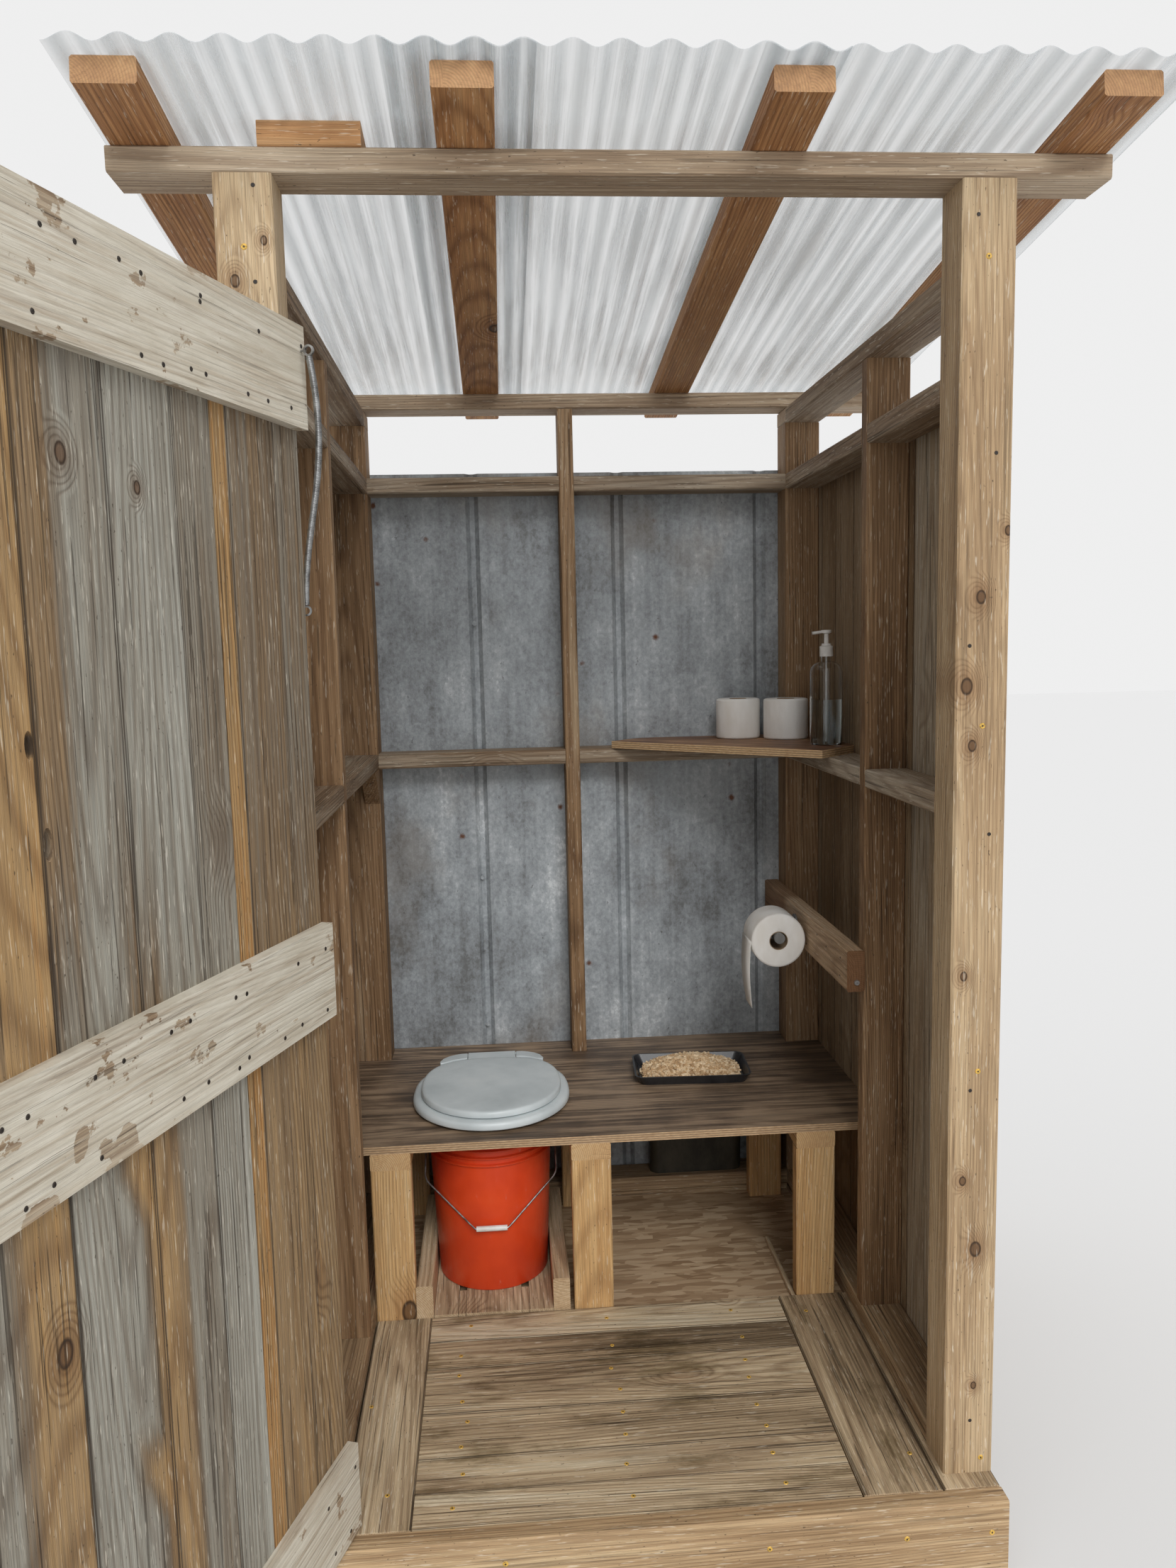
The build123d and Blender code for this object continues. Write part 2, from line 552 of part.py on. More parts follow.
def paper_pieces():
    """Rail on the right studs, a bent peg on its inner face, and the roll that hangs on the peg."""
    rail_face = in_right - THICK
    rail_z = (deck + RAIL_HEIGHT, deck + RAIL_HEIGHT + WIDTH)
    parts["paper_rail"] = timber((rail_face, in_right), (front + RAIL_START, back - FIT), rail_z)
    peg_x = rail_face - PEG_OUT
    peg_y = front + PEG_Y
    peg_z = deck + RAIL_HEIGHT + WIDTH / 2
    route = [(rail_face, peg_y, peg_z), (peg_x, peg_y, peg_z), (peg_x, peg_y - PEG_LENGTH, peg_z)]
    path = FilletPolyline(*route, radius=PEG_BEND)
    peg = sweep(Plane(path @ 0, z_dir=path % 0) * Circle(PEG), path)
    flange = Rot(0, 90, 0) * Cylinder(PEG_FLANGE, PEG_FLANGE_THICK)
    flange = Pos(rail_face - PEG_FLANGE_THICK / 2, peg_y, peg_z) * flange
    parts["paper_peg"] = peg + flange
    roll_z = peg_z + PEG + SEAT - ROLL_CORE
    roll_back = peg_y - ROLL_GAP - PEG
    roll = Cylinder(ROLL, ROLL_WIDTH) - Cylinder(ROLL_CORE, ROLL_WIDTH)
    roll_place = Pos(peg_x, roll_back - ROLL_WIDTH / 2, roll_z) * Rot(90, 0, 0)
    roll = roll_place * roll
    tail_x = peg_x - ROLL
    tail = slab((tail_x, tail_x + PAPER), (roll_back - ROLL_WIDTH, roll_back), (roll_z - PAPER_TAIL, roll_z))
    core = roll_place * Cylinder(ROLL - PAPER, ROLL_WIDTH)
    parts["paper_roll"] = roll + (tail - core)


def flared(length, width, flare, height, rounding):
    """A block that widens upwards, with rounded upright corners."""
    foot = RectangleRounded(length - 2 * flare, width - 2 * flare, rounding)
    mouth = Pos(0, 0, height) * RectangleRounded(length, width, rounding)
    return loft([foot.face(), mouth.face()])


def tray_and_bin():
    """Shallow tray heaped with wood pellets on the bench, and a slim bin on the rear plate under it."""
    thin = 2 * TRAY_WALL
    tray = flared(TRAY_LENGTH, TRAY_WIDTH, TRAY_FLARE, TRAY_HEIGHT, TRAY_ROUND)
    well = flared(TRAY_LENGTH - thin, TRAY_WIDTH - thin, TRAY_FLARE, TRAY_HEIGHT, TRAY_ROUND - TRAY_WALL)
    well = Pos(0, 0, TRAY_WALL) * well
    place = Pos(right - TRAY_RIGHT, front + TRAY_Y, bench) * Rot(0, 0, -TRAY_TURN)
    parts["pellet_tray"] = place * (tray - well)
    fill = TRAY_HEIGHT - TRAY_WALL
    heap = well & slab((-TRAY_LENGTH, TRAY_LENGTH), (-TRAY_WIDTH, TRAY_WIDTH), (0, fill))
    brim = Pos(0, 0, fill) * Rectangle(TRAY_LENGTH - 2 * TRAY_ROUND, TRAY_WIDTH - 2 * TRAY_ROUND)
    crest = Pos(0, 0, fill + PELLET_CROWN) * Rectangle(CREST_LENGTH, CREST_WIDTH)
    heap += loft([brim.face(), crest.face()])
    parts["pellets"] = place * heap
    bin_shell = flared(BIN_WIDTH, BIN_DEPTH, BIN_FLARE, BIN_HEIGHT, BIN_ROUND)
    inside = flared(BIN_WIDTH - thin, BIN_DEPTH - thin, BIN_FLARE, BIN_HEIGHT, BIN_ROUND - TRAY_WALL)
    bin_shell -= Pos(0, 0, TRAY_WALL) * inside
    bin_y = back - FIT - BIN_DEPTH / 2
    parts["slim_bin"] = Pos(right - BIN_RIGHT + BIN_WIDTH / 2, bin_y, deck + THICK) * bin_shell


def door_pieces():
    """Board leaf with three battens and two strap hinges, made shut and swung open on its pins."""
    low = in_left + DOOR_GAP
    high = in_right - DOOR_GAP
    foot = deck + DOOR_FOOT
    head = foot + DOOR_HEIGHT
    swing = Pos(*door_pivot) * Rot(0, 0, -DOOR_OPEN) * Pos(-door_pivot[0], -door_pivot[1])
    leaf = (front, front + BOARD)
    parts["door_boards"] = swing * slab((low, high), leaf, (foot, head))
    heights = {"bottom": foot, "middle": foot + MIDDLE_BATTEN, "top": head - BATTEN}
    for name, z in heights.items():
        batten = slab((low, high), (leaf[1], leaf[1] + BOARD), (z, z + BATTEN))
        parts[f"door_batten_{name}"] = swing * batten
    straps = []
    plates = []
    pin_axis = Pos(*door_pivot)
    for z in (heights["bottom"], heights["top"]):
        middle = z + BATTEN / 2
        straps.append(swing * hinge_strap(middle, low))
        plates.append(hinge_plate(middle))
    parts["hinge_straps"] = group(*straps)
    parts["hinge_plates"] = group(*plates)
    upper = swing * Pos(low + EYE_IN, leaf[1] + BOARD, head - EYE_DROP)
    lower = Pos(in_left, front + SPRING_BACK, deck + SPRING_FOOT)
    parts["door_eye"] = upper * screw_eye()
    parts["post_eye"] = lower * Rot(0, 0, -90) * screw_eye()
    reach = EYE + EYE_WIRE + SEAT
    high_end = (upper * Pos(0, EYE_OUT, -reach)).position
    low_end = (lower * Pos(EYE_OUT, 0, reach)).position
    route = (low_end, low_end + (0, 0, SPRING_END), high_end - (0, 0, SPRING_END), high_end)
    path = FilletPolyline(*route, radius=SPRING_BEND)
    parts["door_spring"] = sweep(Plane(path @ 0, z_dir=path % 0) * Circle(SPRING), path)


def screw_eye():
    """A wire ring on a short shank that leaves the face at the origin along Y."""
    shank = Pos(0, (EYE_OUT - EYE) / 2, 0) * Rot(90, 0, 0) * Cylinder(EYE_WIRE, EYE_OUT - EYE)
    broad = 2 * EYE_WIRE + FIT
    ring = Cylinder(EYE + EYE_WIRE, broad) - Cylinder(EYE - EYE_WIRE, broad)
    return shank + Pos(0, EYE_OUT, 0) * Rot(0, 90, 0) * ring


def hinge_strap(middle, low):
    """The long tapered strap on the leaf's outer face, with the middle knuckle rolled round the pin."""
    start = low + FIT
    outline = Polyline(
        (start, -STRAP_ROOT / 2),
        (start + STRAP_LENGTH, -STRAP_TIP / 2),
        (start + STRAP_LENGTH, STRAP_TIP / 2),
        (start, STRAP_ROOT / 2),
        close=True,
    )
    face = Plane((0, front, middle), x_dir=(1, 0, 0), z_dir=(0, -1, 0))
    strap = extrude(face * make_face(outline), STRAP)
    third = STRAP_ROOT / 3
    web = slab((door_pivot[0], start), (front - STRAP, front), (middle - third / 2, middle + third / 2))
    knuckle = Pos(*door_pivot, middle) * Cylinder(KNUCKLE, third)
    hole = Pos(*door_pivot, middle) * Cylinder(PIN + HINGE_PLAY, STRAP_ROOT)
    return strap + web + knuckle - hole


def hinge_plate(middle):
    """The short plate on the post, with two knuckles and the pin through all three."""
    third = STRAP_ROOT / 3
    half = HINGE_PLATE_TALL / 2
    plate_x = (in_left - HINGE_PLATE, in_left - FIT)
    plate = slab(plate_x, (front - STRAP, front), (middle - half, middle + half))
    plate -= Pos(*door_pivot, middle) * Cylinder(KNUCKLE + FIT, third + 2 * KNUCKLE_GAP)
    pin = Pos(*door_pivot, middle) * Cylinder(PIN, 3 * third)
    for side in (-1, 1):
        centre = middle + side * (third + KNUCKLE_GAP)
        plate += Pos(*door_pivot, centre) * Cylinder(KNUCKLE, third)
        web = (in_left - FIT, door_pivot[0])
        plate += slab(web, (front - STRAP, front), (centre - third / 2, centre + third / 2))
    return plate + pin


floor_pieces()
frame_pieces()
roof_pieces()
wall_pieces()
bench_pieces()
toilet_pieces()
bucket_pieces()
shelf_pieces()
paper_pieces()
tray_and_bin()
door_pieces()

os.makedirs("parts", exist_ok=True)
for name, piece in parts.items():
    export_step(piece, f"parts/{name}.step")
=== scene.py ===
import bmesh
import bpy
import random
from math import atan2, cos, pi, radians, sin, tau
from mathutils import Matrix, Vector


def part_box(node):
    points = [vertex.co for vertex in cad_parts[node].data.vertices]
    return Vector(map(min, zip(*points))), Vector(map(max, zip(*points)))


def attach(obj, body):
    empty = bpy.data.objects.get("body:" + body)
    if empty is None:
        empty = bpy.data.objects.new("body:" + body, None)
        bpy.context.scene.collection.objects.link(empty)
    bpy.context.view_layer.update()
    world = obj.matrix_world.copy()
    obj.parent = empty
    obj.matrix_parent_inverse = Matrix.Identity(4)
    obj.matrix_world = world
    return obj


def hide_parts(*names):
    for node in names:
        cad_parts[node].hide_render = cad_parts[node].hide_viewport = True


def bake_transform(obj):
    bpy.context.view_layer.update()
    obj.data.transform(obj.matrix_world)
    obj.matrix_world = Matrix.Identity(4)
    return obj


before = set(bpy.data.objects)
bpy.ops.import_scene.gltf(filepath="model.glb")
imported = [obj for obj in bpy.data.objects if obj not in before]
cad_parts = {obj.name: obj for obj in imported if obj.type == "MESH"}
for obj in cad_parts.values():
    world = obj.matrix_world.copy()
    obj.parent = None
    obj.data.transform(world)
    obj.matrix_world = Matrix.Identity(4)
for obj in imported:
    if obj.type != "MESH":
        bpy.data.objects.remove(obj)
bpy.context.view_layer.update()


# Floor frame: five joists on edge with a sill nailed across their front ends, and the bottom plates
# and border boards over them. Sawn softwood, darkened by damp but for the sill. The solids are
# right, so they get the finish of sawn timber, whose grain runs along each stick.
def add(tree, kind, inputs=None, **settings):
    """A new node with its settings and its inputs, each a plain value or another node's socket."""
    node = tree.nodes.new(kind)
    for name, value in settings.items():
        setattr(node, name, value)
    for key, value in (inputs or {}).items():
        if isinstance(value, bpy.types.NodeSocket):
            tree.links.new(value, node.inputs[key])
        else:
            node.inputs[key].default_value = value
    return node


def calc(tree, operation, first, second=0.0, third=0.0):
    """One sum on two or three numbers."""
    return add(tree, "ShaderNodeMath", {0: first, 1: second, 2: third}, operation=operation).outputs[0]


def calc_vector(tree, operation, first, second=(0.0, 0.0, 0.0), scale=1.0):
    """One sum on vectors, as a vector, or as a number where it is a length or a dot product."""
    node = add(tree, "ShaderNodeVectorMath", {0: first, 1: second, 3: scale}, operation=operation)
    return node.outputs[1 if operation in ("LENGTH", "DOT_PRODUCT") else 0]


def xyz(tree, vector):
    """A vector's three numbers."""
    return add(tree, "ShaderNodeSeparateXYZ", {0: vector}).outputs


def swayed(tree, level, noise, amount):
    """A level that noise moves up and down, by half the amount at most."""
    return calc(tree, "MULTIPLY_ADD", calc(tree, "SUBTRACT", noise, 0.5), amount, level)


def ripple(tree, phase):
    """A wave between 0 and 1."""
    return calc(tree, "MULTIPLY_ADD", calc(tree, "SINE", phase), 0.5, 0.5)


def between(tree, value, low, high, at_low=0.0, at_high=1.0):
    """A smooth step from one level to another while the value goes from low to high."""
    inputs = {"Value": value, "From Min": low, "From Max": high, "To Min": at_low, "To Max": at_high}
    return add(tree, "ShaderNodeMapRange", inputs, interpolation_type="SMOOTHSTEP").outputs[0]


def tint(tree, amount, under, over, blend="MIX"):
    """One colour laid over another."""
    inputs = {0: amount, 6: under, 7: over}
    return add(tree, "ShaderNodeMix", inputs, data_type="RGBA", blend_type=blend).outputs[2]


def grey(level):
    """An even grey."""
    return (level, level, level, 1.0)


def mottle(tree, vector, scale, detail=2.0, rough=0.5):
    """Noise on coordinates stretched by a scale for each axis, in blotches a metre."""
    stretched = add(tree, "ShaderNodeMapping", {"Vector": vector, "Scale": scale}).outputs[0]
    inputs = {"Vector": stretched, "Scale": 1.0, "Detail": detail, "Roughness": rough}
    return add(tree, "ShaderNodeTexNoise", inputs).outputs[0]


def picks(tree, cells):
    """Three random numbers that each cell of a cell texture has."""
    return add(tree, "ShaderNodeSeparateColor", {0: cells.outputs["Color"]}).outputs


def apart(tree, place, x, z, shrink):
    """How far a point is from a line through (x, z) from front to back, each axis scaled by shrink."""
    shrink = Vector(shrink)
    inputs = {"Vector": place, "Scale": shrink, "Location": (-x * shrink.x, 0.0, -z * shrink.z)}
    return calc_vector(tree, "LENGTH", add(tree, "ShaderNodeMapping", inputs).outputs[0])


def graded(tree, value, stops):
    """Colours along a scale from 0 to 1."""
    node = add(tree, "ShaderNodeValToRGB", {0: value})
    elements = node.color_ramp.elements
    while len(elements) < len(stops):
        elements.new(1.0)
    for element, (place, colour) in zip(elements, stops):
        element.position = place
        element.color = (*colour, 1.0)
    return node.outputs[0]


def finish_tree(name):
    """An empty material, its node tree and its main shader."""
    material = bpy.data.materials.new(name)
    material.use_nodes = True
    tree = material.node_tree
    return material, tree, tree.nodes["Principled BSDF"]


def relief(tree, shader, height, distance):
    """Bump on a shader, its height times a distance in metres."""
    inputs = {"Height": height, "Distance": distance, "Strength": 1.0}
    tree.links.new(add(tree, "ShaderNodeBump", inputs).outputs[0], shader.inputs["Normal"])


def sawn_wood(
    name, run, colours, streaks=0.5, patches=0.5, rings=0.3, knots=0.25, checks=0.0, rough=0.7,
    bump=1.0, turn=(0.0, 0.0, 0.0), branches=(),
):
    """Wood with its grain along X, Y or Z, or along X at the back and Y at the sides ("XY").

    Each of its branches leaves a knot from front to back at (x, z, radius).

    A board's own "tone" moves it along the colours, its "shift" gives it other grain, and "edge"
    goes from -1 to 1 across it, for the painted shade along its joints.
    """
    rear_frame = 0.53
    material, tree, shader = finish_tree(name)
    coords = add(tree, "ShaderNodeTexCoord")
    place = add(tree, "ShaderNodeMapping", {"Vector": coords.outputs["Object"], "Rotation": turn}).outputs[0]
    facing = add(tree, "ShaderNodeMapping", {"Vector": coords.outputs["Normal"], "Rotation": turn}).outputs[0]
    x, y, z = xyz(tree, place)
    side, front, top = xyz(tree, facing)
    orders = {"X": ((y, z, x), side), "Y": ((z, x, y), front), "Z": ((x, y, z), top)}
    if run == "XY":
        behind = calc(tree, "GREATER_THAN", y, rear_frame)
        at_sides, at_back = (
            add(tree, "ShaderNodeCombineXYZ", dict(enumerate(orders[way][0]))).outputs[0] for way in "YX"
        )
        inputs = {0: behind, 4: at_sides, 5: at_back}
        grain = add(tree, "ShaderNodeMix", inputs, data_type="VECTOR").outputs[1]
        end = add(tree, "ShaderNodeMix", {0: behind, 2: front, 3: side}, data_type="FLOAT").outputs[0]
    else:
        order, end = orders[run]
        grain = add(tree, "ShaderNodeCombineXYZ", dict(enumerate(order))).outputs[0]
    shift = add(tree, "ShaderNodeAttribute", attribute_name="shift").outputs["Fac"]
    tone = add(tree, "ShaderNodeAttribute", attribute_name="tone").outputs["Fac"]
    grain = calc_vector(tree, "ADD", grain, calc_vector(tree, "SCALE", (17.3, 5.1, 9.7), scale=shift))
    bends = add(tree, "ShaderNodeMapping", {"Vector": grain, "Scale": (5.0, 5.0, 1.3)}).outputs[0]
    wander = add(tree, "ShaderNodeTexNoise", {"Vector": bends, "Scale": 1.0, "Detail": 2.0}).outputs[1]
    grain = calc_vector(tree, "ADD", grain, calc_vector(tree, "SCALE", wander, scale=0.016))
    cells = add(tree, "ShaderNodeMapping", {"Vector": grain, "Scale": (6.5, 6.5, 4.0)}).outputs[0]
    knot = add(tree, "ShaderNodeTexVoronoi", {"Vector": cells, "Scale": 1.0})
    pick = picks(tree, knot)
    chosen = calc(tree, "LESS_THAN", pick[0], knots)
    size = calc(tree, "MULTIPLY_ADD", pick[1], 0.07, 0.045)
    away = calc(tree, "DIVIDE", knot.outputs["Distance"], size)
    away = calc(tree, "MULTIPLY_ADD", calc(tree, "SUBTRACT", 1.0, chosen), 100.0, away)
    for branch_x, branch_z, radius in branches:
        near = apart(tree, place, branch_x, branch_z, (1 / radius, 0.0, 0.7 / radius))
        away = calc(tree, "MINIMUM", away, near)
    eye = between(tree, away, 0.6, 4.0, 1.0, 0.0)
    core = between(tree, away, 0.85, 1.15, 1.0, 0.0)
    bark = calc(tree, "MULTIPLY", core, between(tree, away, 0.55, 0.95))
    field = mottle(tree, grain, (4.2, 4.2, 0.24), 0.0)
    phase = calc(tree, "MULTIPLY_ADD", field, 420.0, calc(tree, "MULTIPLY", eye, 26.0))
    late = calc(tree, "POWER", ripple(tree, phase), 2.5)
    streak = mottle(tree, grain, (120.0, 120.0, 1.3), 5.0, 0.65)
    fibre = mottle(tree, grain, (650.0, 650.0, 9.0), 3.0, 0.6)
    patch = mottle(tree, grain, (6.0, 6.0, 0.9), 5.0, 0.6)
    level = swayed(tree, 0.5, streak, 2.2 * streaks)
    level = swayed(tree, level, patch, 2.4 * patches)
    level = calc(tree, "ADD", level, tone)
    colour = graded(tree, level, colours)
    colour = tint(tree, calc(tree, "MULTIPLY", late, rings), colour, (0.34, 0.24, 0.18, 1.0), "MULTIPLY")
    colour = tint(tree, between(tree, fibre, 0.36, 0.62, 0.42, 0.0), colour, grey(0.3), "MULTIPLY")
    colour = tint(tree, calc(tree, "MULTIPLY", eye, 0.45), colour, (0.42, 0.25, 0.14, 1.0), "MULTIPLY")
    colour = tint(tree, calc(tree, "MULTIPLY", core, 0.75), colour, (0.11, 0.055, 0.025, 1.0))
    colour = tint(tree, calc(tree, "MULTIPLY", bark, 0.85), colour, (0.025, 0.014, 0.008, 1.0))
    split = between(tree, mottle(tree, grain, (170.0, 170.0, 2.6), 1.0), 0.655, 0.69, 0.0, checks)
    colour = tint(tree, split, colour, (0.03, 0.02, 0.012, 1.0))
    flecks = between(tree, mottle(tree, grain, (330.0, 330.0, 26.0), 2.0, 0.55), 0.62, 0.7, 0.0, 0.3)
    colour = tint(tree, flecks, colour, (0.95, 0.86, 0.7, 1.0), "SCREEN")
    specks = between(tree, mottle(tree, grain, (260.0, 260.0, 110.0), 2.0), 0.69, 0.75, 0.0, 0.7)
    colour = tint(tree, specks, colour, (0.05, 0.032, 0.02, 1.0))
    # Painted shade along each board's joints, fading off on the side faces inside the gaps.
    edge = calc(tree, "ABSOLUTE", add(tree, "ShaderNodeAttribute", attribute_name="edge").outputs["Fac"])
    shade_fade_on_sides = between(tree, edge, 0.992, 0.9995, 0.9, 0.1)
    painted_joint_shade = calc(tree, "MULTIPLY", between(tree, edge, 0.93, 0.985), shade_fade_on_sides)
    colour = tint(tree, painted_joint_shade, colour, (0.03, 0.02, 0.013, 1.0))
    across = add(tree, "ShaderNodeMapping", {"Vector": grain, "Scale": (1.0, 1.0, 0.0)}).outputs[0]
    pith = add(tree, "ShaderNodeVectorMath", {0: across, 1: (0.13, 0.13, 0.13)}, operation="WRAP")
    pith.inputs[2].default_value = (0.0, 0.0, 0.0)
    from_pith = calc_vector(tree, "LENGTH", pith.outputs[0])
    year = ripple(tree, calc(tree, "MULTIPLY", from_pith, 1500.0))
    sawn_end = graded(tree, level, colours)
    sawn_end = tint(tree, calc(tree, "MULTIPLY", year, 0.6), sawn_end, grey(0.45), "MULTIPLY")
    sawn_end = tint(tree, 0.35, sawn_end, (0.5, 0.33, 0.19, 1.0))
    ended = between(tree, calc(tree, "ABSOLUTE", end), 0.7, 0.9)
    colour = tint(tree, ended, colour, sawn_end)
    tree.links.new(colour, shader.inputs["Base Color"])
    tree.links.new(between(tree, streak, 0.3, 0.7, rough - 0.08, rough + 0.1), shader.inputs["Roughness"])
    shader.inputs["Specular IOR Level"].default_value = 0.3
    height = calc(tree, "MULTIPLY_ADD", late, -0.4, calc(tree, "MULTIPLY", fibre, 0.8))
    height = calc(tree, "MULTIPLY_ADD", split, -1.6, height)
    height = calc(tree, "MULTIPLY_ADD", bark, -1.0, height)
    relief(tree, shader, height, 0.0011 * bump)
    return material


def dress(finish, *names):
    """Gives CAD nodes a finish."""
    for name in names:
        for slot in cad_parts[name].material_slots:
            slot.material = finish


damp_tones = (
    (0.15, (0.17, 0.115, 0.065)), (0.4, (0.31, 0.21, 0.12)),
    (0.6, (0.42, 0.29, 0.165)), (0.85, (0.52, 0.39, 0.24)),
)
dress(sawn_wood("joist_wood", "Y", damp_tones, streaks=0.6, checks=0.5), "floor_joists")
sill_tones = (
    (0.12, (0.24, 0.145, 0.07)), (0.4, (0.42, 0.275, 0.145)),
    (0.6, (0.56, 0.39, 0.22)), (0.85, (0.66, 0.5, 0.3)),
)
dress(sawn_wood("sill_wood", "X", sill_tones, 0.45, 0.5, 0.3, 0.25, 0.3), "front_sill")
plate_wood = sawn_wood("plate_wood", "XY", damp_tones, streaks=0.6, patches=0.7, checks=0.6)
dress(plate_wood, "bottom_plates", "floor_border")


# Deck: old one-inch boards across the opening, let in between two boards that run from front to
# back. Worn yellow-brown with one greyer board; each is a little off straight, with painted shade
# along its joints.
def new_tree(name, *sockets):
    """A geometry tree with its named inputs, and its group input and output nodes."""
    tree = bpy.data.node_groups.new(name, "GeometryNodeTree")
    tree.interface.new_socket("Geometry", in_out="INPUT", socket_type="NodeSocketGeometry")
    for label, kind in sockets:
        tree.interface.new_socket(label, in_out="INPUT", socket_type=kind)
    tree.interface.new_socket("Geometry", in_out="OUTPUT", socket_type="NodeSocketGeometry")
    return tree, add(tree, "NodeGroupInput").outputs, add(tree, "NodeGroupOutput")


def end_tree(tree, geometry, finish, group_out):
    """Gives what a geometry tree has made its material and sends it out."""
    done = add(tree, "GeometryNodeSetMaterial", {"Geometry": geometry, "Material": finish})
    tree.links.new(done.outputs[0], group_out.inputs[0])


def show(name, mesh):
    """A new object at the origin that shows a mesh."""
    piece = bpy.data.objects.new(name, mesh)
    bpy.context.scene.collection.objects.link(piece)
    return piece


def grown(name, seed_mesh, tree, values, edge=0.0):
    """Runs a geometry tree on a mesh and keeps the result as a plain mesh object."""
    maker = show(name + "_maker", seed_mesh)
    modifier = maker.modifiers.new("grow", "NODES")
    modifier.node_group = tree
    for item in tree.interface.items_tree:
        if item.in_out == "INPUT" and item.name in values:
            modifier[item.identifier] = values[item.name]
    if edge:
        bevel = maker.modifiers.new("edge", "BEVEL")
        bevel.width = edge
        bevel.segments = 2
        bevel.limit_method = "ANGLE"
        bevel.angle_limit = radians(50)
    ready = maker.evaluated_get(bpy.context.evaluated_depsgraph_get())
    mesh = bpy.data.meshes.new_from_object(ready)
    bpy.data.objects.remove(maker)
    mesh.name = name
    return show(name, mesh)


boards_tree, group_in, group_out = new_tree(
    "boards", ("Cuts X", "NodeSocketInt"), ("Cuts Y", "NodeSocketInt"), ("Cuts Z", "NodeSocketInt"),
    ("Across", "NodeSocketVector"), ("Wander", "NodeSocketFloat"), ("Finish", "NodeSocketMaterial"),
)
where = add(boards_tree, "GeometryNodeInputPosition").outputs[0]
aside = calc_vector(boards_tree, "DOT_PRODUCT", where, group_in["Across"])
block = add(boards_tree, "GeometryNodeMeshCube", {
    "Vertices X": group_in["Cuts X"], "Vertices Y": group_in["Cuts Y"], "Vertices Z": group_in["Cuts Z"],
})
span = add(boards_tree, "GeometryNodeInputNamedAttribute", {"Name": "span"}, data_type="FLOAT_VECTOR")
block = add(boards_tree, "GeometryNodeStoreNamedAttribute", {
    "Geometry": block.outputs[0], "Name": "edge", "Value": aside,
}, data_type="FLOAT", domain="POINT")
laid = add(boards_tree, "GeometryNodeInstanceOnPoints", {
    "Points": group_in["Geometry"], "Instance": block.outputs[0], "Scale": span.outputs[0],
})
real = add(boards_tree, "GeometryNodeRealizeInstances", {0: laid.outputs[0]})
turns = add(boards_tree, "ShaderNodeTexNoise", {"Vector": where, "Scale": 5.0, "Detail": 1.0}).outputs[1]
turns = calc_vector(boards_tree, "SUBTRACT", turns, (0.5, 0.5, 0.5))
turns = calc_vector(boards_tree, "SCALE", turns, scale=group_in["Wander"])
bent = add(boards_tree, "GeometryNodeSetPosition", {"Geometry": real.outputs[0], "Offset": turns})
end_tree(boards_tree, bent.outputs[0], group_in["Finish"], group_out)


def boards(name, spans, cuts, finish, wander=0.0012, edge=0.0015, seed=1):
    """Loose boards, each a (low, high) pair for each axis and its tone."""
    chance = random.Random(seed)
    mesh = bpy.data.meshes.new(name)
    mesh.from_pydata([[(low + high) / 2 for low, high in box] for box, tone in spans], [], [])
    sizes = mesh.attributes.new("span", "FLOAT_VECTOR", "POINT")
    sizes.data.foreach_set("vector", [high - low for box, tone in spans for low, high in box])
    mesh.attributes.new("tone", "FLOAT", "POINT").data.foreach_set("value", [tone for box, tone in spans])
    shifts = [chance.random() for each in spans]
    mesh.attributes.new("shift", "FLOAT", "POINT").data.foreach_set("value", shifts)
    sizes = [high - low for low, high in spans[0][0]]
    across = [2.0 if size == sorted(sizes)[1] else 0.0 for size in sizes]
    values = {"Cuts X": cuts[0], "Cuts Y": cuts[1], "Cuts Z": cuts[2], "Across": across}
    values |= {"Wander": wander, "Finish": finish}
    return grown(name, mesh, boards_tree, values, edge)


heads_tree, group_in, group_out = new_tree(
    "heads", ("Radius", "NodeSocketFloat"), ("Height", "NodeSocketFloat"), ("Finish", "NodeSocketMaterial"),
)
narrow = calc(heads_tree, "MULTIPLY", group_in["Radius"], 0.8)
disc = add(heads_tree, "GeometryNodeMeshCone", {
    "Vertices": 10, "Radius Top": narrow, "Radius Bottom": group_in["Radius"], "Depth": group_in["Height"],
}, fill_type="TRIANGLE_FAN")
x, y, z = xyz(heads_tree, add(heads_tree, "GeometryNodeInputPosition").outputs[0])
flat = add(heads_tree, "ShaderNodeCombineXYZ", {0: x, 1: y}).outputs[0]
away = calc(heads_tree, "DIVIDE", calc_vector(heads_tree, "LENGTH", flat), narrow)
disc = add(heads_tree, "GeometryNodeStoreNamedAttribute", {
    "Geometry": disc.outputs[0], "Name": "away", "Value": away,
}, data_type="FLOAT", domain="POINT")
facing = add(heads_tree, "GeometryNodeInputNamedAttribute", {"Name": "facing"}, data_type="FLOAT_VECTOR")
lie = add(heads_tree, "FunctionNodeAlignRotationToVector", {"Vector": facing.outputs[0]}, axis="Z").outputs[0]
driven = add(heads_tree, "GeometryNodeInstanceOnPoints", {
    "Points": group_in["Geometry"], "Instance": disc.outputs[0], "Rotation": lie,
})
real = add(heads_tree, "GeometryNodeRealizeInstances", {0: driven.outputs[0]})
end_tree(heads_tree, real.outputs[0], group_in["Finish"], group_out)


def object_place(tree):
    """Where a point lies on the object."""
    return add(tree, "ShaderNodeTexCoord").outputs["Object"]


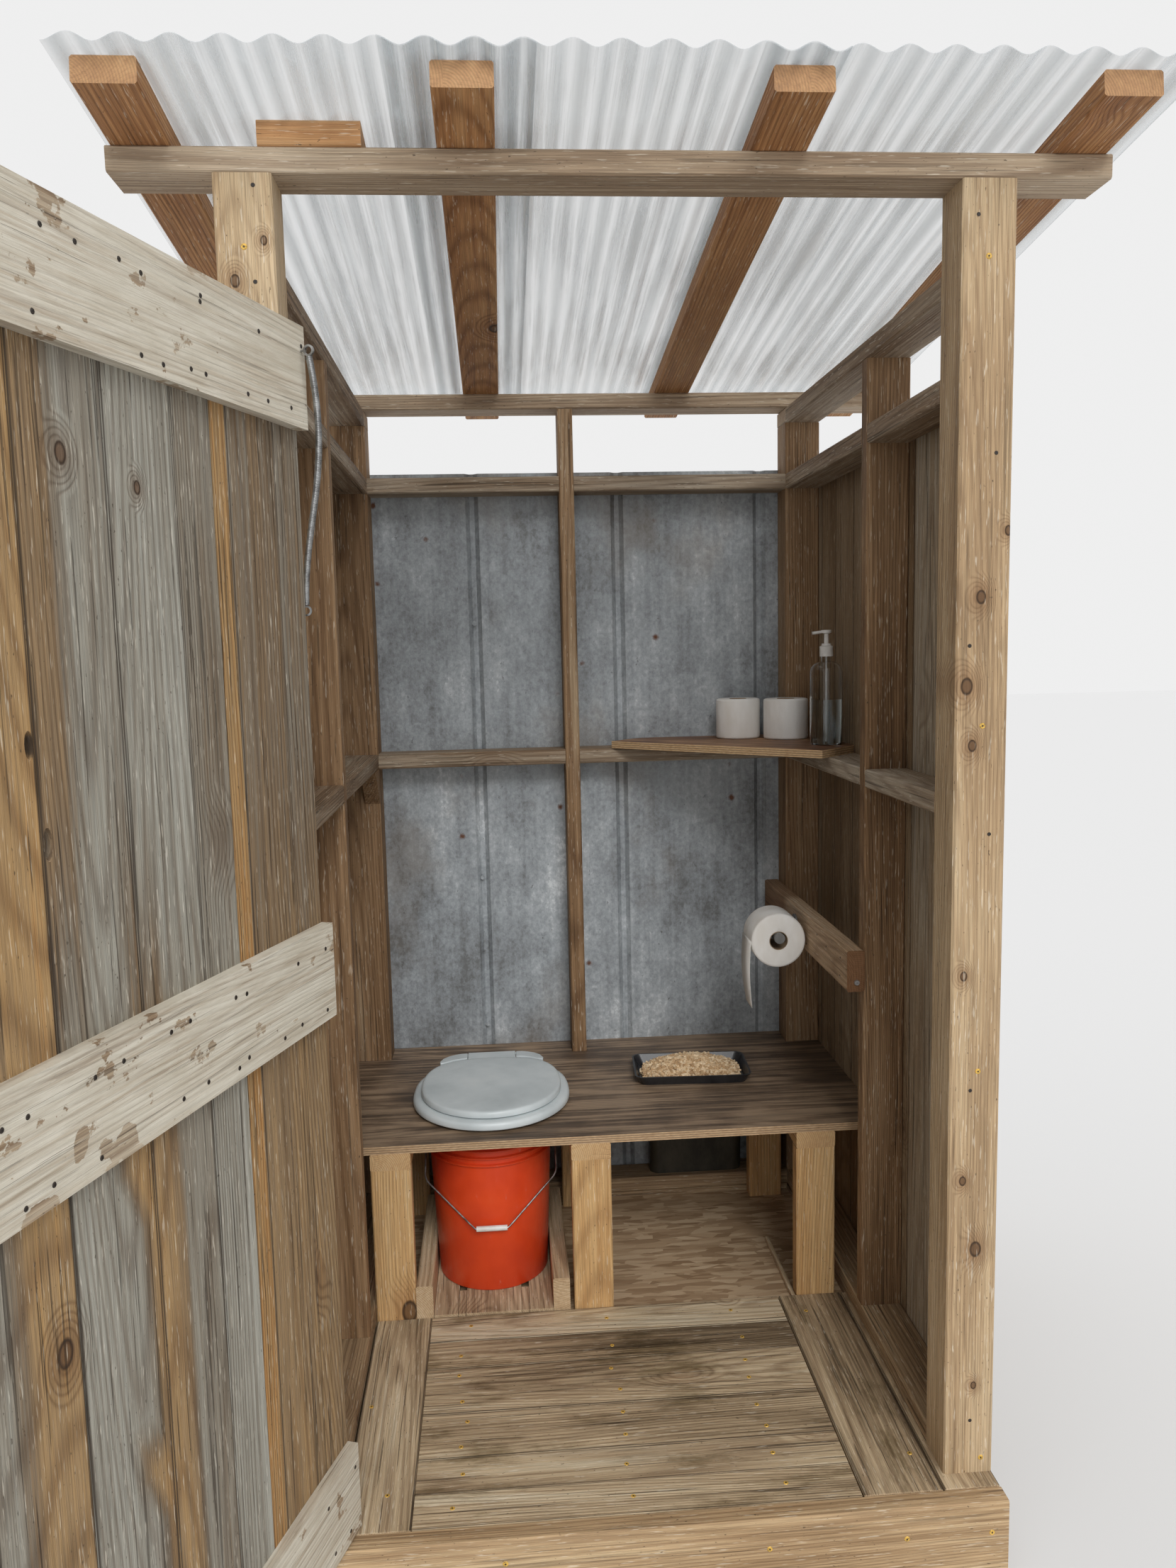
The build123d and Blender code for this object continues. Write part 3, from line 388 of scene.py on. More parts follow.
def screw_finish(name, metal, hollow, shine):
    """A screw's or nail's head, darker in the middle."""
    material, tree, shader = finish_tree(name)
    away = add(tree, "ShaderNodeAttribute", attribute_name="away").outputs["Fac"]
    coords = object_place(tree)
    dirt = between(tree, mottle(tree, coords, (300.0, 300.0, 300.0), 2.0), 0.4, 0.7, 0.0, 0.6)
    dirty = tint(tree, dirt, metal, hollow)
    tree.links.new(tint(tree, between(tree, away, 0.3, 0.5), hollow, dirty), shader.inputs["Base Color"])
    shader.inputs["Metallic"].default_value = shine
    shader.inputs["Roughness"].default_value = 0.45
    return material


def lay_colour(tree, amount, colour, blend="MULTIPLY"):
    """Lays one more colour over a finish."""
    base = tree.nodes["Principled BSDF"].inputs["Base Color"]
    tree.links.new(tint(tree, amount, base.links[0].from_socket, colour, blend), base)


def heads(name, spots, radius, height, finish, body="root"):
    """Round heads that face out of a surface, each at a place with a direction."""
    mesh = bpy.data.meshes.new(name)
    mesh.from_pydata([place for place, out in spots], [], [])
    outs = mesh.attributes.new("facing", "FLOAT_VECTOR", "POINT")
    outs.data.foreach_set("vector", [number for place, out in spots for number in out])
    piece = grown(name, mesh, heads_tree, {"Radius": radius, "Height": height, "Finish": finish})
    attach(piece, body)


deck_low, deck_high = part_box("floor_deck")
post_low, post_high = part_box("front_post_left")
field_x = (post_low.x + 0.2135, post_low.x + 1.0015)
deck_tones = (
    (0.1, (0.19, 0.135, 0.08)), (0.33, (0.38, 0.28, 0.17)), (0.52, (0.53, 0.4, 0.25)),
    (0.72, (0.65, 0.51, 0.33)), (0.95, (0.73, 0.62, 0.44)),
)
field_wood = sawn_wood("deck_wood", "X", deck_tones, 0.6, 0.8, 0.4, 0.25, 0.6)
border_wood = sawn_wood("deck_border_wood", "Y", deck_tones, 0.6, 0.8, 0.4, 0.25, 0.6)
for finish, stretch in ((field_wood, (3.0, 9.0, 9.0)), (border_wood, (8.0, 3.0, 9.0))):
    tree = finish.node_tree
    coords = object_place(tree)
    moss = between(tree, mottle(tree, coords, stretch, 6.0, 0.7), 0.5, 0.66, 0.0, 0.8)
    lay_colour(tree, moss, (0.36, 0.33, 0.24, 1.0))
deck_z = (deck_low.z, deck_high.z)
joints = [deck_low.y, *(post_low.y + place for place in (0.046, 0.134, 0.262, 0.408, 0.503)), deck_high.y]
tones = (0.1, 0.16, 0.04, 0.06, -0.08, 0.12)
field = [
    ((field_x, (low + 0.0006, high - 0.0006), deck_z), tone)
    for low, high, tone in zip(joints, joints[1:], tones)
]
edges = (deck_low.x, post_high.x, field_x[0]), (field_x[1], deck_high.x - 0.103, deck_high.x)
border = [
    (((low + 0.0025, high - 0.0008), (deck_low.y, deck_high.y), deck_z), tone)
    for row in edges for low, high, tone in zip(row, row[1:], (-0.06, -0.02))
]
deck_field = boards("deck_field", field, (16, 3, 2), field_wood, seed=3)
deck_border = boards("deck_border", border, (2, 14, 2), border_wood, seed=4)
for piece in (deck_field, deck_border):
    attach(piece, "root")
    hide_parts("floor_deck")
gold = screw_finish("gold_screw", (0.8, 0.5, 0.1, 1.0), (0.06, 0.04, 0.02, 1.0), 0.3)
black = screw_finish("old_nail", (0.035, 0.026, 0.02, 1.0), (0.01, 0.008, 0.006, 1.0), 0.2)
chance = random.Random(21)
up = (0.0, 0.0, 1.0)
front = (0.0, -1.0, 0.0)
screw_z = deck_high.z - 0.0006
two_screws = 0.125
driven = []
for low, high in zip(joints, joints[1:]):
    rows = (0.3, 0.75) if high - low > two_screws else (0.5,)
    for row in rows:
        for column in (0.29, 0.597, 0.882):
            x = post_low.x + column + chance.uniform(-0.012, 0.012)
            y = low + (high - low) * (row + chance.uniform(-0.08, 0.08))
            driven.append(((x, y, screw_z), up))
sill_low, sill_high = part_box("front_sill")
for column in (0.075, 0.36, 0.62, 0.83, 1.07, 1.2):
    x = post_low.x + column + chance.uniform(-0.02, 0.02)
    driven.append(((x, sill_low.y + 0.0002, sill_high.z - chance.uniform(0.03, 0.1)), front))
for x, y in ((1.051, 0.533), (1.12, 0.06), (0.11, 0.3), (0.165, 0.05)):
    driven.append(((post_low.x + x, post_low.y + y, screw_z), up))
heads("deck_screws", driven, 0.0052, 0.0012, gold)


# Floor under the bench: one sheet of strand board, let in a little lower than the deck.
# Long flakes of wood lie every way in it, some pale and some dark.
material, tree, shader = finish_tree("strand_board")
coords = object_place(tree)
flake_tones = ((0.0, (0.27, 0.17, 0.09)), (0.5, (0.42, 0.29, 0.17)), (1.0, (0.56, 0.42, 0.27)))
colour = (0.4, 0.28, 0.165, 1.0)
lie = 0.0
for angle in (12, 74, 128, 40):
    turn = (0.0, 0.0, radians(angle))
    flat = add(tree, "ShaderNodeMapping", {"Vector": coords, "Rotation": turn, "Scale": (16.0, 75.0, 1.0)})
    flakes = add(tree, "ShaderNodeTexVoronoi", {"Vector": flat.outputs[0], "Scale": 1.0})
    pick = picks(tree, flakes)
    shown = calc(tree, "GREATER_THAN", pick[0], 0.45)
    colour = tint(tree, shown, colour, graded(tree, pick[1], flake_tones))
    lie = calc(tree, "ADD", lie, calc(tree, "MULTIPLY", shown, pick[2]))
tree.links.new(colour, shader.inputs["Base Color"])
shader.inputs["Roughness"].default_value = 0.75
relief(tree, shader, lie, 0.0006)
dress(material, "bay_floor")


# Posts, studs and plates: four-inch posts at the corners and two-inch timber between them.
# Sawn and left bare: the front posts are light tan, those inside darker. Nailed together, with a
# few yellow screws and black nails in the front posts' faces.
post_tones = (
    (0.12, (0.3, 0.19, 0.1)), (0.38, (0.47, 0.325, 0.185)),
    (0.58, (0.6, 0.445, 0.27)), (0.82, (0.71, 0.56, 0.37)),
)
stud_tones = (
    (0.12, (0.13, 0.07, 0.032)), (0.38, (0.25, 0.145, 0.07)),
    (0.6, (0.36, 0.225, 0.12)), (0.88, (0.47, 0.34, 0.21)),
)
girt_tones = (
    (0.12, (0.14, 0.085, 0.045)), (0.36, (0.28, 0.19, 0.115)),
    (0.58, (0.39, 0.305, 0.215)), (0.85, (0.52, 0.44, 0.34)),
)
beam_tones = (
    (0.12, (0.24, 0.165, 0.1)), (0.38, (0.4, 0.29, 0.19)),
    (0.58, (0.53, 0.41, 0.285)), (0.84, (0.67, 0.55, 0.41)),
)
post_branches = (
    (0.621, 1.831, 0.006), (0.577, 1.724, 0.008), (0.555, 1.578, 0.01), (0.566, 1.479, 0.007),
    (0.558, 1.084, 0.006), (0.562, 0.717, 0.006), (0.587, 0.59, 0.01), (0.588, 0.333, 0.005),
    (-0.552, 2.28, 0.005), (-0.598, 2.221, 0.007),
)
post_wood = sawn_wood("post_wood", "Z", post_tones, 0.3, 0.6, 0.26, 0.06, 0.25, branches=post_branches)
stud_wood = sawn_wood("stud_wood", "Z", stud_tones, 0.5, 0.55, 0.4, 0.3, 0.5)
girt_wood = sawn_wood("girt_wood", "XY", girt_tones, 0.5, 0.7, 0.35, 0.3, 0.5)
beam_wood = sawn_wood("beam_wood", "X", beam_tones, 0.4, 0.6, 0.35, 0.25, 0.3)
dress(post_wood, "front_post_left", "front_post_right")
dress(stud_wood, "rear_post_left", "rear_post_right", "side_stud_left", "side_stud_right")
dress(stud_wood, "rear_stud", "corner_gusset")
dress(girt_wood, "upper_girts", "middle_girts", "top_plates")
dress(beam_wood, "header", "rear_beam")
post_face = post_low.y + 0.0002
screw_spots = ((0.58, 2.26), (0.583, 1.512), (0.586, 0.915), (0.604, 0.193), (-0.582, 2.271))
heads("post_screws", [((x, post_face, z), front) for x, z in screw_spots], 0.0052, 0.0012, gold)
nail_spots = (
    (0.562, 2.323), (0.598, 1.955), (0.559, 1.645), (0.598, 1.329), (0.573, 0.881), (0.583, 0.266),
    (-0.564, 2.36), (-0.568, 2.22),
)
heads("post_nails", [((x, post_face, z), front) for x, z in nail_spots], 0.0036, 0.0008, black)


# Side walls: upright one-inch boards nailed over the outside of the frame, almost down to the feet
# of the joists. Weathered to grey and brown, no two quite the same width or colour.
wall_tones = (
    (0.08, (0.15, 0.09, 0.045)), (0.3, (0.28, 0.185, 0.1)), (0.5, (0.36, 0.265, 0.165)),
    (0.68, (0.42, 0.35, 0.255)), (0.92, (0.52, 0.475, 0.4)),
)
wall_wood = sawn_wood("wall_wood", "Z", wall_tones, 0.4, 0.4, 0.35, 0.3, 0.6)
chance = random.Random(11)
last_board = 0.2
for side in ("left", "right"):
    low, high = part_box(side + "_wall")
    joint = low.y
    upright = []
    while high.y - joint > last_board:
        width = chance.uniform(0.125, 0.15)
        box = ((low.x, high.x), (joint, joint + width - 0.0008), (low.z, high.z))
        upright.append((box, chance.uniform(-0.25, 0.25)))
        joint += width
    upright.append((((low.x, high.x), (joint, high.y), (low.z, high.z)), 0.05))
    piece = boards(f"{side}_wall_boards", upright, (2, 3, 24), wall_wood, 0.0016, 0.002, seed=5)
    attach(piece, "root")
    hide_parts(side + "_wall")
    outside = (low.x + 0.0006, (-1.0, 0.0, 0.0)) if side == "left" else (high.x - 0.0006, (1.0, 0.0, 0.0))
    driven = []
    for box, tone in upright:
        near, far = box[1]
        for z in (0.184, 1.372, 2.071):
            for part in (0.2, 0.78):
                y = near + (far - near) * (part + chance.uniform(-0.05, 0.05))
                driven.append(((outside[0], y, z + chance.uniform(-0.008, 0.008)), outside[1]))
    heads(f"{side}_wall_nails", driven, 0.0036, 0.0014, black)


# Rear wall: one ribbed galvanised sheet nailed behind the frame, dull blue-grey zinc with white
# bloom in runs and small spots of rust.
material, tree, shader = finish_tree("dull_zinc")
coords = object_place(tree)
bloom = mottle(tree, coords, (7.0, 7.0, 4.0), 5.0, 0.65)
grain = mottle(tree, coords, (120.0, 120.0, 90.0), 5.0, 0.7)
runs = mottle(tree, coords, (45.0, 45.0, 1.6), 3.0, 0.6)
spangle = add(tree, "ShaderNodeTexVoronoi", {"Vector": coords, "Scale": 95.0})
level = swayed(tree, bloom, runs, 0.35)
level = swayed(tree, level, grain, 0.55)
level = swayed(tree, level, picks(tree, spangle)[0], 0.09)
zinc = (
    (0.25, (0.16, 0.165, 0.165)), (0.42, (0.27, 0.29, 0.305)), (0.56, (0.36, 0.39, 0.41)),
    (0.68, (0.47, 0.5, 0.52)), (0.8, (0.68, 0.71, 0.72)),
)
colour = graded(tree, level, zinc)
soiled = mottle(tree, coords, (3.0, 3.0, 2.0), 4.0, 0.6)
colour = tint(tree, between(tree, soiled, 0.52, 0.68, 0.0, 0.4), colour, (0.2, 0.155, 0.11, 1.0))
scratch = mottle(tree, coords, (70.0, 70.0, 45.0), 6.0, 0.75)
colour = tint(tree, between(tree, scratch, 0.64, 0.69, 0.0, 0.7), colour, (0.07, 0.065, 0.06, 1.0))
spots = add(tree, "ShaderNodeTexVoronoi", {"Vector": coords, "Scale": 15.0})
rusty = calc(tree, "LESS_THAN", picks(tree, spots)[0], 0.11)
ragged = calc(tree, "MULTIPLY_ADD", grain, 0.14, spots.outputs["Distance"])
rust = calc(tree, "MULTIPLY", rusty, between(tree, ragged, 0.12, 0.24, 1.0, 0.0))
colour = tint(tree, rust, colour, (0.13, 0.045, 0.016, 1.0))
tree.links.new(colour, shader.inputs["Base Color"])
shader.inputs["Metallic"].default_value = 0.2
tree.links.new(between(tree, level, 0.3, 0.75, 0.4, 0.65), shader.inputs["Roughness"])
relief(tree, shader, level, 0.0009)
dull_zinc = material
dress(dull_zinc, "rear_wall")
metal_low, metal_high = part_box("rear_wall")
margin, columns = 0.03, 12
driven = []
for z in (0.2, 0.62, 1.04, 1.38, 1.72, 2.07):
    for column in range(columns):
        x = metal_low.x + margin + column * (metal_high.x - metal_low.x - 2 * margin) / (columns - 1)
        driven.append(((x, metal_low.y + 0.0006, z + chance.uniform(-0.01, 0.01)), (0.0, 1.0, 0.0)))
heads("sheet_nails", driven, 0.006, 0.0022, dull_zinc)


# Rafters and block: two-inch timber laid flat down the slope, notched over the header and the
# rear beam, with an off-cut beside one. Reddish softwood, darker in streaks.
rafter_tones = (
    (0.12, (0.24, 0.105, 0.04)), (0.38, (0.42, 0.2, 0.08)),
    (0.6, (0.56, 0.3, 0.13)), (0.88, (0.66, 0.42, 0.22)),
)
header_low, header_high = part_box("header")
beam_low, beam_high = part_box("rear_beam")
slope = atan2(header_high.z - beam_high.z, beam_low.y - header_low.y)
rafter_wood = sawn_wood("rafter_wood", "Y", rafter_tones, 0.4, 0.5, 0.5, 0.25, 0.2, turn=(slope, 0.0, 0.0))
dress(rafter_wood, *(f"rafter_{number}" for number in (1, 2, 3, 4)))
dress(sawn_wood("block_wood", "X", rafter_tones, 0.5, 0.5, 0.4, 0.1, 0.2), "header_block")


# Roof: three corrugated clear plastic sheets, lapped side over side and screwed to the rafters.
# The plastic is cloudy in streaks down the slope, and sags a little between rafters.
roof_tree, group_in, group_out = new_tree(
    "waves", ("Width", "NodeSocketFloat"), ("Length", "NodeSocketFloat"), ("Pitch", "NodeSocketFloat"),
    ("Rise", "NodeSocketFloat"), ("Start", "NodeSocketFloat"), ("Sag", "NodeSocketFloat"),
    ("Finish", "NodeSocketMaterial"),
)
sheet = add(roof_tree, "GeometryNodeMeshGrid", {
    "Size X": group_in["Width"], "Size Y": group_in["Length"], "Vertices X": 118, "Vertices Y": 26,
})
where = add(roof_tree, "GeometryNodeInputPosition").outputs[0]
x, y, z = xyz(roof_tree, where)
turns = calc(roof_tree, "DIVIDE", calc(roof_tree, "ADD", x, group_in["Start"]), group_in["Pitch"])
wave = calc(roof_tree, "SINE", calc(roof_tree, "MULTIPLY", turns, tau))
lift = calc(roof_tree, "MULTIPLY", wave, calc(roof_tree, "MULTIPLY", group_in["Rise"], 0.5))
dip = add(roof_tree, "ShaderNodeTexNoise", {"Vector": where, "Scale": 2.2, "Detail": 1.0}).outputs[0]
lift = swayed(roof_tree, lift, dip, group_in["Sag"])
offset = add(roof_tree, "ShaderNodeCombineXYZ", {2: lift}).outputs[0]
bent = add(roof_tree, "GeometryNodeSetPosition", {"Geometry": sheet.outputs[0], "Offset": offset})
smooth = add(roof_tree, "GeometryNodeSetShadeSmooth", {0: bent.outputs[0]})
both = add(roof_tree, "GeometryNodeJoinGeometry", {0: smooth.outputs[0]})
roof_tree.links.new(group_in["Geometry"], both.inputs[0])
real = add(roof_tree, "GeometryNodeRealizeInstances", {0: both.outputs[0]})
end_tree(roof_tree, real.outputs[0], group_in["Finish"], group_out)

clear_sheet, tree, shader = finish_tree("clear_sheet")
coords = object_place(tree)
pitch, rise, gauge, wide, long = 0.0677, 0.013, 0.0012, 0.66, 1.6
rafter_thick, play, lap = 0.038, 0.0003, 0.0015
rafter_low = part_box("rafter_1")[0]
wave_zero = rafter_low.x - 0.027
cloud = mottle(tree, coords, (7.0, 1.2, 1.2), 4.0, 0.6)
runs = mottle(tree, coords, (160.0, 3.0, 3.0), 4.0, 0.65)
x = xyz(tree, coords)[0]
# Painted sheen: the sheet is made more opaque on the wave flanks, where it is seen edge-on.
waves = calc(tree, "MULTIPLY", calc(tree, "SUBTRACT", x, wave_zero), 2 * tau / pitch)
painted_flank_sheen = calc(tree, "MULTIPLY_ADD", calc(tree, "COSINE", waves), -0.09, 0.09)
cloud = swayed(tree, cloud, runs, 0.8)
haze_tones = ((0.3, (0.42, 0.49, 0.52)), (0.55, (0.56, 0.62, 0.65)), (0.78, (0.84, 0.87, 0.88)))
tree.links.new(graded(tree, cloud, haze_tones), shader.inputs["Base Color"])
shader.inputs["Roughness"].default_value = 0.14
film = between(tree, cloud, 0.38, 0.82, 0.13, 0.38)
tree.links.new(calc(tree, "ADD", film, painted_flank_sheen), shader.inputs["Alpha"])
eave = -0.185
roof_place = Matrix.Translation((0.0, header_low.y, header_high.z)) @ Matrix.Rotation(-slope, 4, "X")
for name, high in (("left", 0.0), ("middle", lap), ("right", 0.0)):
    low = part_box("roof_sheet_" + name)[0].x
    middle = low + wide / 2
    values = {"Width": wide, "Length": long, "Pitch": pitch, "Rise": rise, "Sag": 0.004}
    values |= {"Start": middle - wave_zero + 0.75 * pitch, "Finish": clear_sheet}
    piece = grown(f"{name}_roof_sheet", bpy.data.meshes.new(name), roof_tree, values)
    base = rafter_thick + play + rise / 2 + high
    piece.data.transform(roof_place @ Matrix.Translation((middle, eave + long / 2, base)))
    shell = piece.modifiers.new("gauge", "SOLIDIFY")
    shell.thickness = gauge
    shell.offset = 1.0
    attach(piece, "root")
    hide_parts("roof_sheet_" + name)
driven = []
out = (roof_place.to_3x3() @ Vector(up))[:]
for number in (1, 2, 3, 4):
    low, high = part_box(f"rafter_{number}")
    crest = wave_zero + pitch * (round(((low.x + high.x) / 2 - wave_zero) / pitch - 0.5) + 0.5)
    for down in (0.08, 0.37, 0.66, 0.95, 1.24, 1.5):
        place = roof_place @ Vector((crest, eave + down, rafter_thick + rise + gauge + 0.0005))
        driven.append((place[:], out))
heads("roof_screws", driven, 0.0065, 0.0045, dull_zinc)


# Bench: a plywood top with a round hole, on three bearers with a leg at each end. The top is
# stained brown and coloured darker as painted shade, its cut edges show the plies, and the legs and
# bearers are new yellow timber.
def plywood(name, stops, edge_stops, low_z, plies, run_turn=0.0):
    """Plywood whose plies show on its upright faces."""
    material, tree, shader = finish_tree(name)
    coords = add(tree, "ShaderNodeTexCoord")
    inputs = {"Vector": coords.outputs["Object"], "Rotation": (0.0, 0.0, run_turn)}
    place = add(tree, "ShaderNodeMapping", inputs).outputs[0]
    facing_up = xyz(tree, coords.outputs["Normal"])[2]
    height = xyz(tree, place)[2]
    field = mottle(tree, place, (0.5, 4.0, 1.0), 1.0)
    late = calc(tree, "POWER", ripple(tree, calc(tree, "MULTIPLY", field, 260.0)), 2.0)
    streak = mottle(tree, place, (3.0, 70.0, 1.0), 4.0, 0.6)
    soiled = mottle(tree, place, (5.0, 5.0, 1.0), 5.0, 0.6)
    level = swayed(tree, 0.5, streak, 1.7)
    level = swayed(tree, level, soiled, 1.1)
    face = tint(tree, calc(tree, "MULTIPLY", late, 0.45), graded(tree, level, stops), grey(0.35), "MULTIPLY")
    ply = calc(tree, "FRACT", calc(tree, "MULTIPLY", calc(tree, "SUBTRACT", height, low_z), plies / 2))
    cross = calc(tree, "GREATER_THAN", ply, 0.5)
    ragged = mottle(tree, place, (90.0, 90.0, 500.0), 3.0)
    cut = tint(tree, cross, graded(tree, ragged, edge_stops), grey(0.55), "MULTIPLY")
    upright = between(tree, calc(tree, "ABSOLUTE", facing_up), 0.3, 0.6, 1.0, 0.0)
    tree.links.new(tint(tree, upright, face, cut), shader.inputs["Base Color"])
    shader.inputs["Roughness"].default_value = 0.55
    relief(tree, shader, calc(tree, "ADD", streak, late), 0.0004)
    return material


top_low, top_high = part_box("bench_top")
# Stained brown ply, its colours set darker as painted shade.
stained_and_shaded_tones = ((0.3, (0.1, 0.066, 0.042)), (0.5, (0.2, 0.135, 0.085)), (0.72, (0.34, 0.24, 0.155)))
fresh_cut = ((0.3, (0.4, 0.25, 0.13)), (0.7, (0.6, 0.42, 0.25)))
dress(plywood("stained_and_shaded_plywood", stained_and_shaded_tones, fresh_cut, top_low.z, 7 / (top_high.z - top_low.z)), "bench_top")
leg_tones = (
    (0.12, (0.44, 0.235, 0.09)), (0.38, (0.6, 0.355, 0.15)),
    (0.6, (0.71, 0.46, 0.215)), (0.88, (0.8, 0.6, 0.34)),
)
dress(sawn_wood("leg_wood", "Z", leg_tones, 0.4, 0.4, 0.3, 0.15), "bench_legs")
dress(sawn_wood("bearer_wood", "Y", leg_tones, 0.4, 0.4, 0.3, 0.15), "bench_bearers")


# Boards and rails round the bucket: off-cuts of old board on the floor with two sticks on edge
# beside them, so that the bucket always goes back to its place. A thin stick lies loose on the
# floor by the right-hand leg.
dress(sawn_wood("cradle_wood", "Y", deck_tones, 0.6, 0.7, 0.4, 0.25, 0.5), "bucket_boards")
dress(sawn_wood("cradle_rail_wood", "Y", post_tones, 0.5, 0.5, 0.35, 0.25, 0.2), "bucket_rails")
bay_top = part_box("bay_floor")[1].z
lath = ((0.411, 0.42), (-0.031, 0.254), (bay_top + 0.0003, bay_top + 0.011))
stick_wood = sawn_wood("stick_wood", "Y", post_tones)
loose_stick = boards("loose_stick", [(lath, 0.1)], (2, 8, 2), stick_wood, 0.0, 0.001, seed=9)
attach(loose_stick, "root")


# Toilet seat and lid: moulded plastic, cool light grey. The ring stands on four pads with two
# hinge ears behind it, and the lid turns on the pin between them.
def oval(half, ahead, behind, count=96):
    """Points round the seat's outline, anticlockwise from its right side; its back is squarer."""
    points = []
    for number in range(count):
        angle = tau * number / count
        across, along = cos(angle), sin(angle)
        if along <= 0.0:
            points.append((half * across, ahead * along))
        else:
            square = (abs(across) ** 2.8 + along ** 2.8) ** (-1 / 2.8)
            points.append((half * across * square, behind * along * square))
    return points


def loft(bm, rings, closed):
    """Quads between rings of equal length; closed joins the last ring to the first."""
    rows = [[bm.verts.new(point) for point in ring] for ring in rings]
    pairs = list(zip(rows, rows[1:]))
    if closed:
        pairs.append((rows[-1], rows[0]))
    for one, two in pairs:
        for number in range(len(one)):
            after = (number + 1) % len(one)
            bm.faces.new((one[number], one[after], two[after], two[number]))
    return rows


def brick(bm, low, high):
    """A plain block between two corners."""
    size = [b - a for a, b in zip(low, high)]
    middle = [(a + b) / 2 for a, b in zip(low, high)]
    bmesh.ops.create_cube(bm, size=1.0, matrix=Matrix.Translation(middle) @ Matrix.Diagonal((*size, 1.0)))


def rod(bm, start, end, radius, sides=20):
    """A closed cylinder from one point to another."""
    start, end = Vector(start), Vector(end)
    turn = (end - start).to_track_quat("Z", "Y").to_matrix().to_4x4()
    bmesh.ops.create_cone(
        bm, cap_ends=True, segments=sides, radius1=radius, radius2=radius, depth=(end - start).length,
        matrix=Matrix.Translation((start + end) / 2) @ turn,
    )


def solid(name, bm, finish, sharp=40, edge=0.0):
    """Turns built faces into an object with its normals outwards."""
    bmesh.ops.recalc_face_normals(bm, faces=bm.faces)
    mesh = bpy.data.meshes.new(name)
    bm.to_mesh(mesh)
    bm.free()
    mesh.materials.append(finish)
    mesh.shade_smooth()
    mesh.set_sharp_from_angle(angle=radians(sharp))
    piece = show(name, mesh)
    if edge:
        bevel = piece.modifiers.new("edge", "BEVEL")
        bevel.width = edge
        bevel.segments = 2
        bevel.limit_method = "ANGLE"
        bevel.angle_limit = radians(50)
    return piece


seat_plastic, tree, shader = finish_tree("seat_plastic")
coords = object_place(tree)
scuffs = mottle(tree, coords, (30.0, 30.0, 30.0), 5.0, 0.7)
dust = mottle(tree, coords, (7.0, 7.0, 7.0), 3.0, 0.6)
seat_tones = ((0.3, (0.5, 0.55, 0.56)), (0.6, (0.63, 0.68, 0.69)), (0.8, (0.7, 0.74, 0.74)))
tree.links.new(graded(tree, dust, seat_tones), shader.inputs["Base Color"])
tree.links.new(between(tree, scuffs, 0.35, 0.7, 0.28, 0.5), shader.inputs["Roughness"])
relief(tree, shader, scuffs, 0.0001)

seat_low, seat_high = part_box("toilet_seat")
seat_half, seat_front, seat_back = 0.188, 0.2, 0.19
hole_half, hole_long = 0.108, 0.135
pad, thick, lid_gap = 0.005, 0.02, 0.001
pad_x, pad_y = 0.148, 0.0675
seat_mid = (seat_low.x + seat_high.x) / 2
seat_y = seat_low.y + seat_front
bench_z = top_high.z
lid_z = bench_z + pad + thick + lid_gap
outer = oval(seat_half, seat_front, seat_back)
around = len(outer)
hole = [(hole_half * cos(tau * n / around), hole_long * sin(tau * n / around)) for n in range(around)]
section = (
    (0.08, 0.0), (0.01, 0.0012), (0.0, 0.004), (0.0, 0.011), (0.03, 0.0165), (0.1, 0.0193), (0.24, 0.02),
    (0.5, 0.02), (0.78, 0.0185), (0.93, 0.0145), (1.0, 0.009), (0.98, 0.002), (0.9, 0.0),
)
rings = []
for inward, height in section:
    ring = []
    for (ax, ay), (bx, by) in zip(outer, hole):
        x = seat_mid + ax + (bx - ax) * inward
        y = seat_y + ay + (by - ay) * inward
        ring.append((x, y, bench_z + pad + height))
    rings.append(ring)
bm = bmesh.new()
loft(bm, rings, closed=True)
for x in (-pad_x, pad_x):
    for y in (-pad_y, pad_y):
        foot = Vector((seat_mid + x, seat_y + y, bench_z))
        rod(bm, foot, foot + Vector((0.0, 0.0, pad + 0.002)), 0.01)
pin_y = seat_y + 0.217
pin_z = lid_z + 0.0085
cheek = (
    (0.0625, 0.1795), (0.08, 0.176), (0.1, 0.1675), (0.118, 0.155), (0.13, 0.151), (0.132, 0.162),
    (0.124, 0.185), (0.11, 0.204), (0.093, 0.2165), (0.078, 0.2235), (0.0625, 0.2245),
)
for side in (-1, 1):
    plan = [(side * x, y) for x, y in cheek][::side]
    low_ring = [(seat_mid + x, seat_y + y, bench_z + pad + 0.006) for x, y in plan]
    top_ring = [(seat_mid + x, seat_y + y, pin_z + 0.0078 - max(y - 0.19, 0.0) * 0.09) for x, y in plan]
    rows = loft(bm, (low_ring, top_ring), closed=False)
    bm.faces.new(rows[0][::-1])
    bm.faces.new(rows[-1])
rod(bm, (seat_mid - 0.07, pin_y, pin_z), (seat_mid + 0.07, pin_y, pin_z), 0.004)
seat = solid("seat_ring", bm, seat_plastic, edge=0.002)
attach(seat, "root")
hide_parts("toilet_seat")

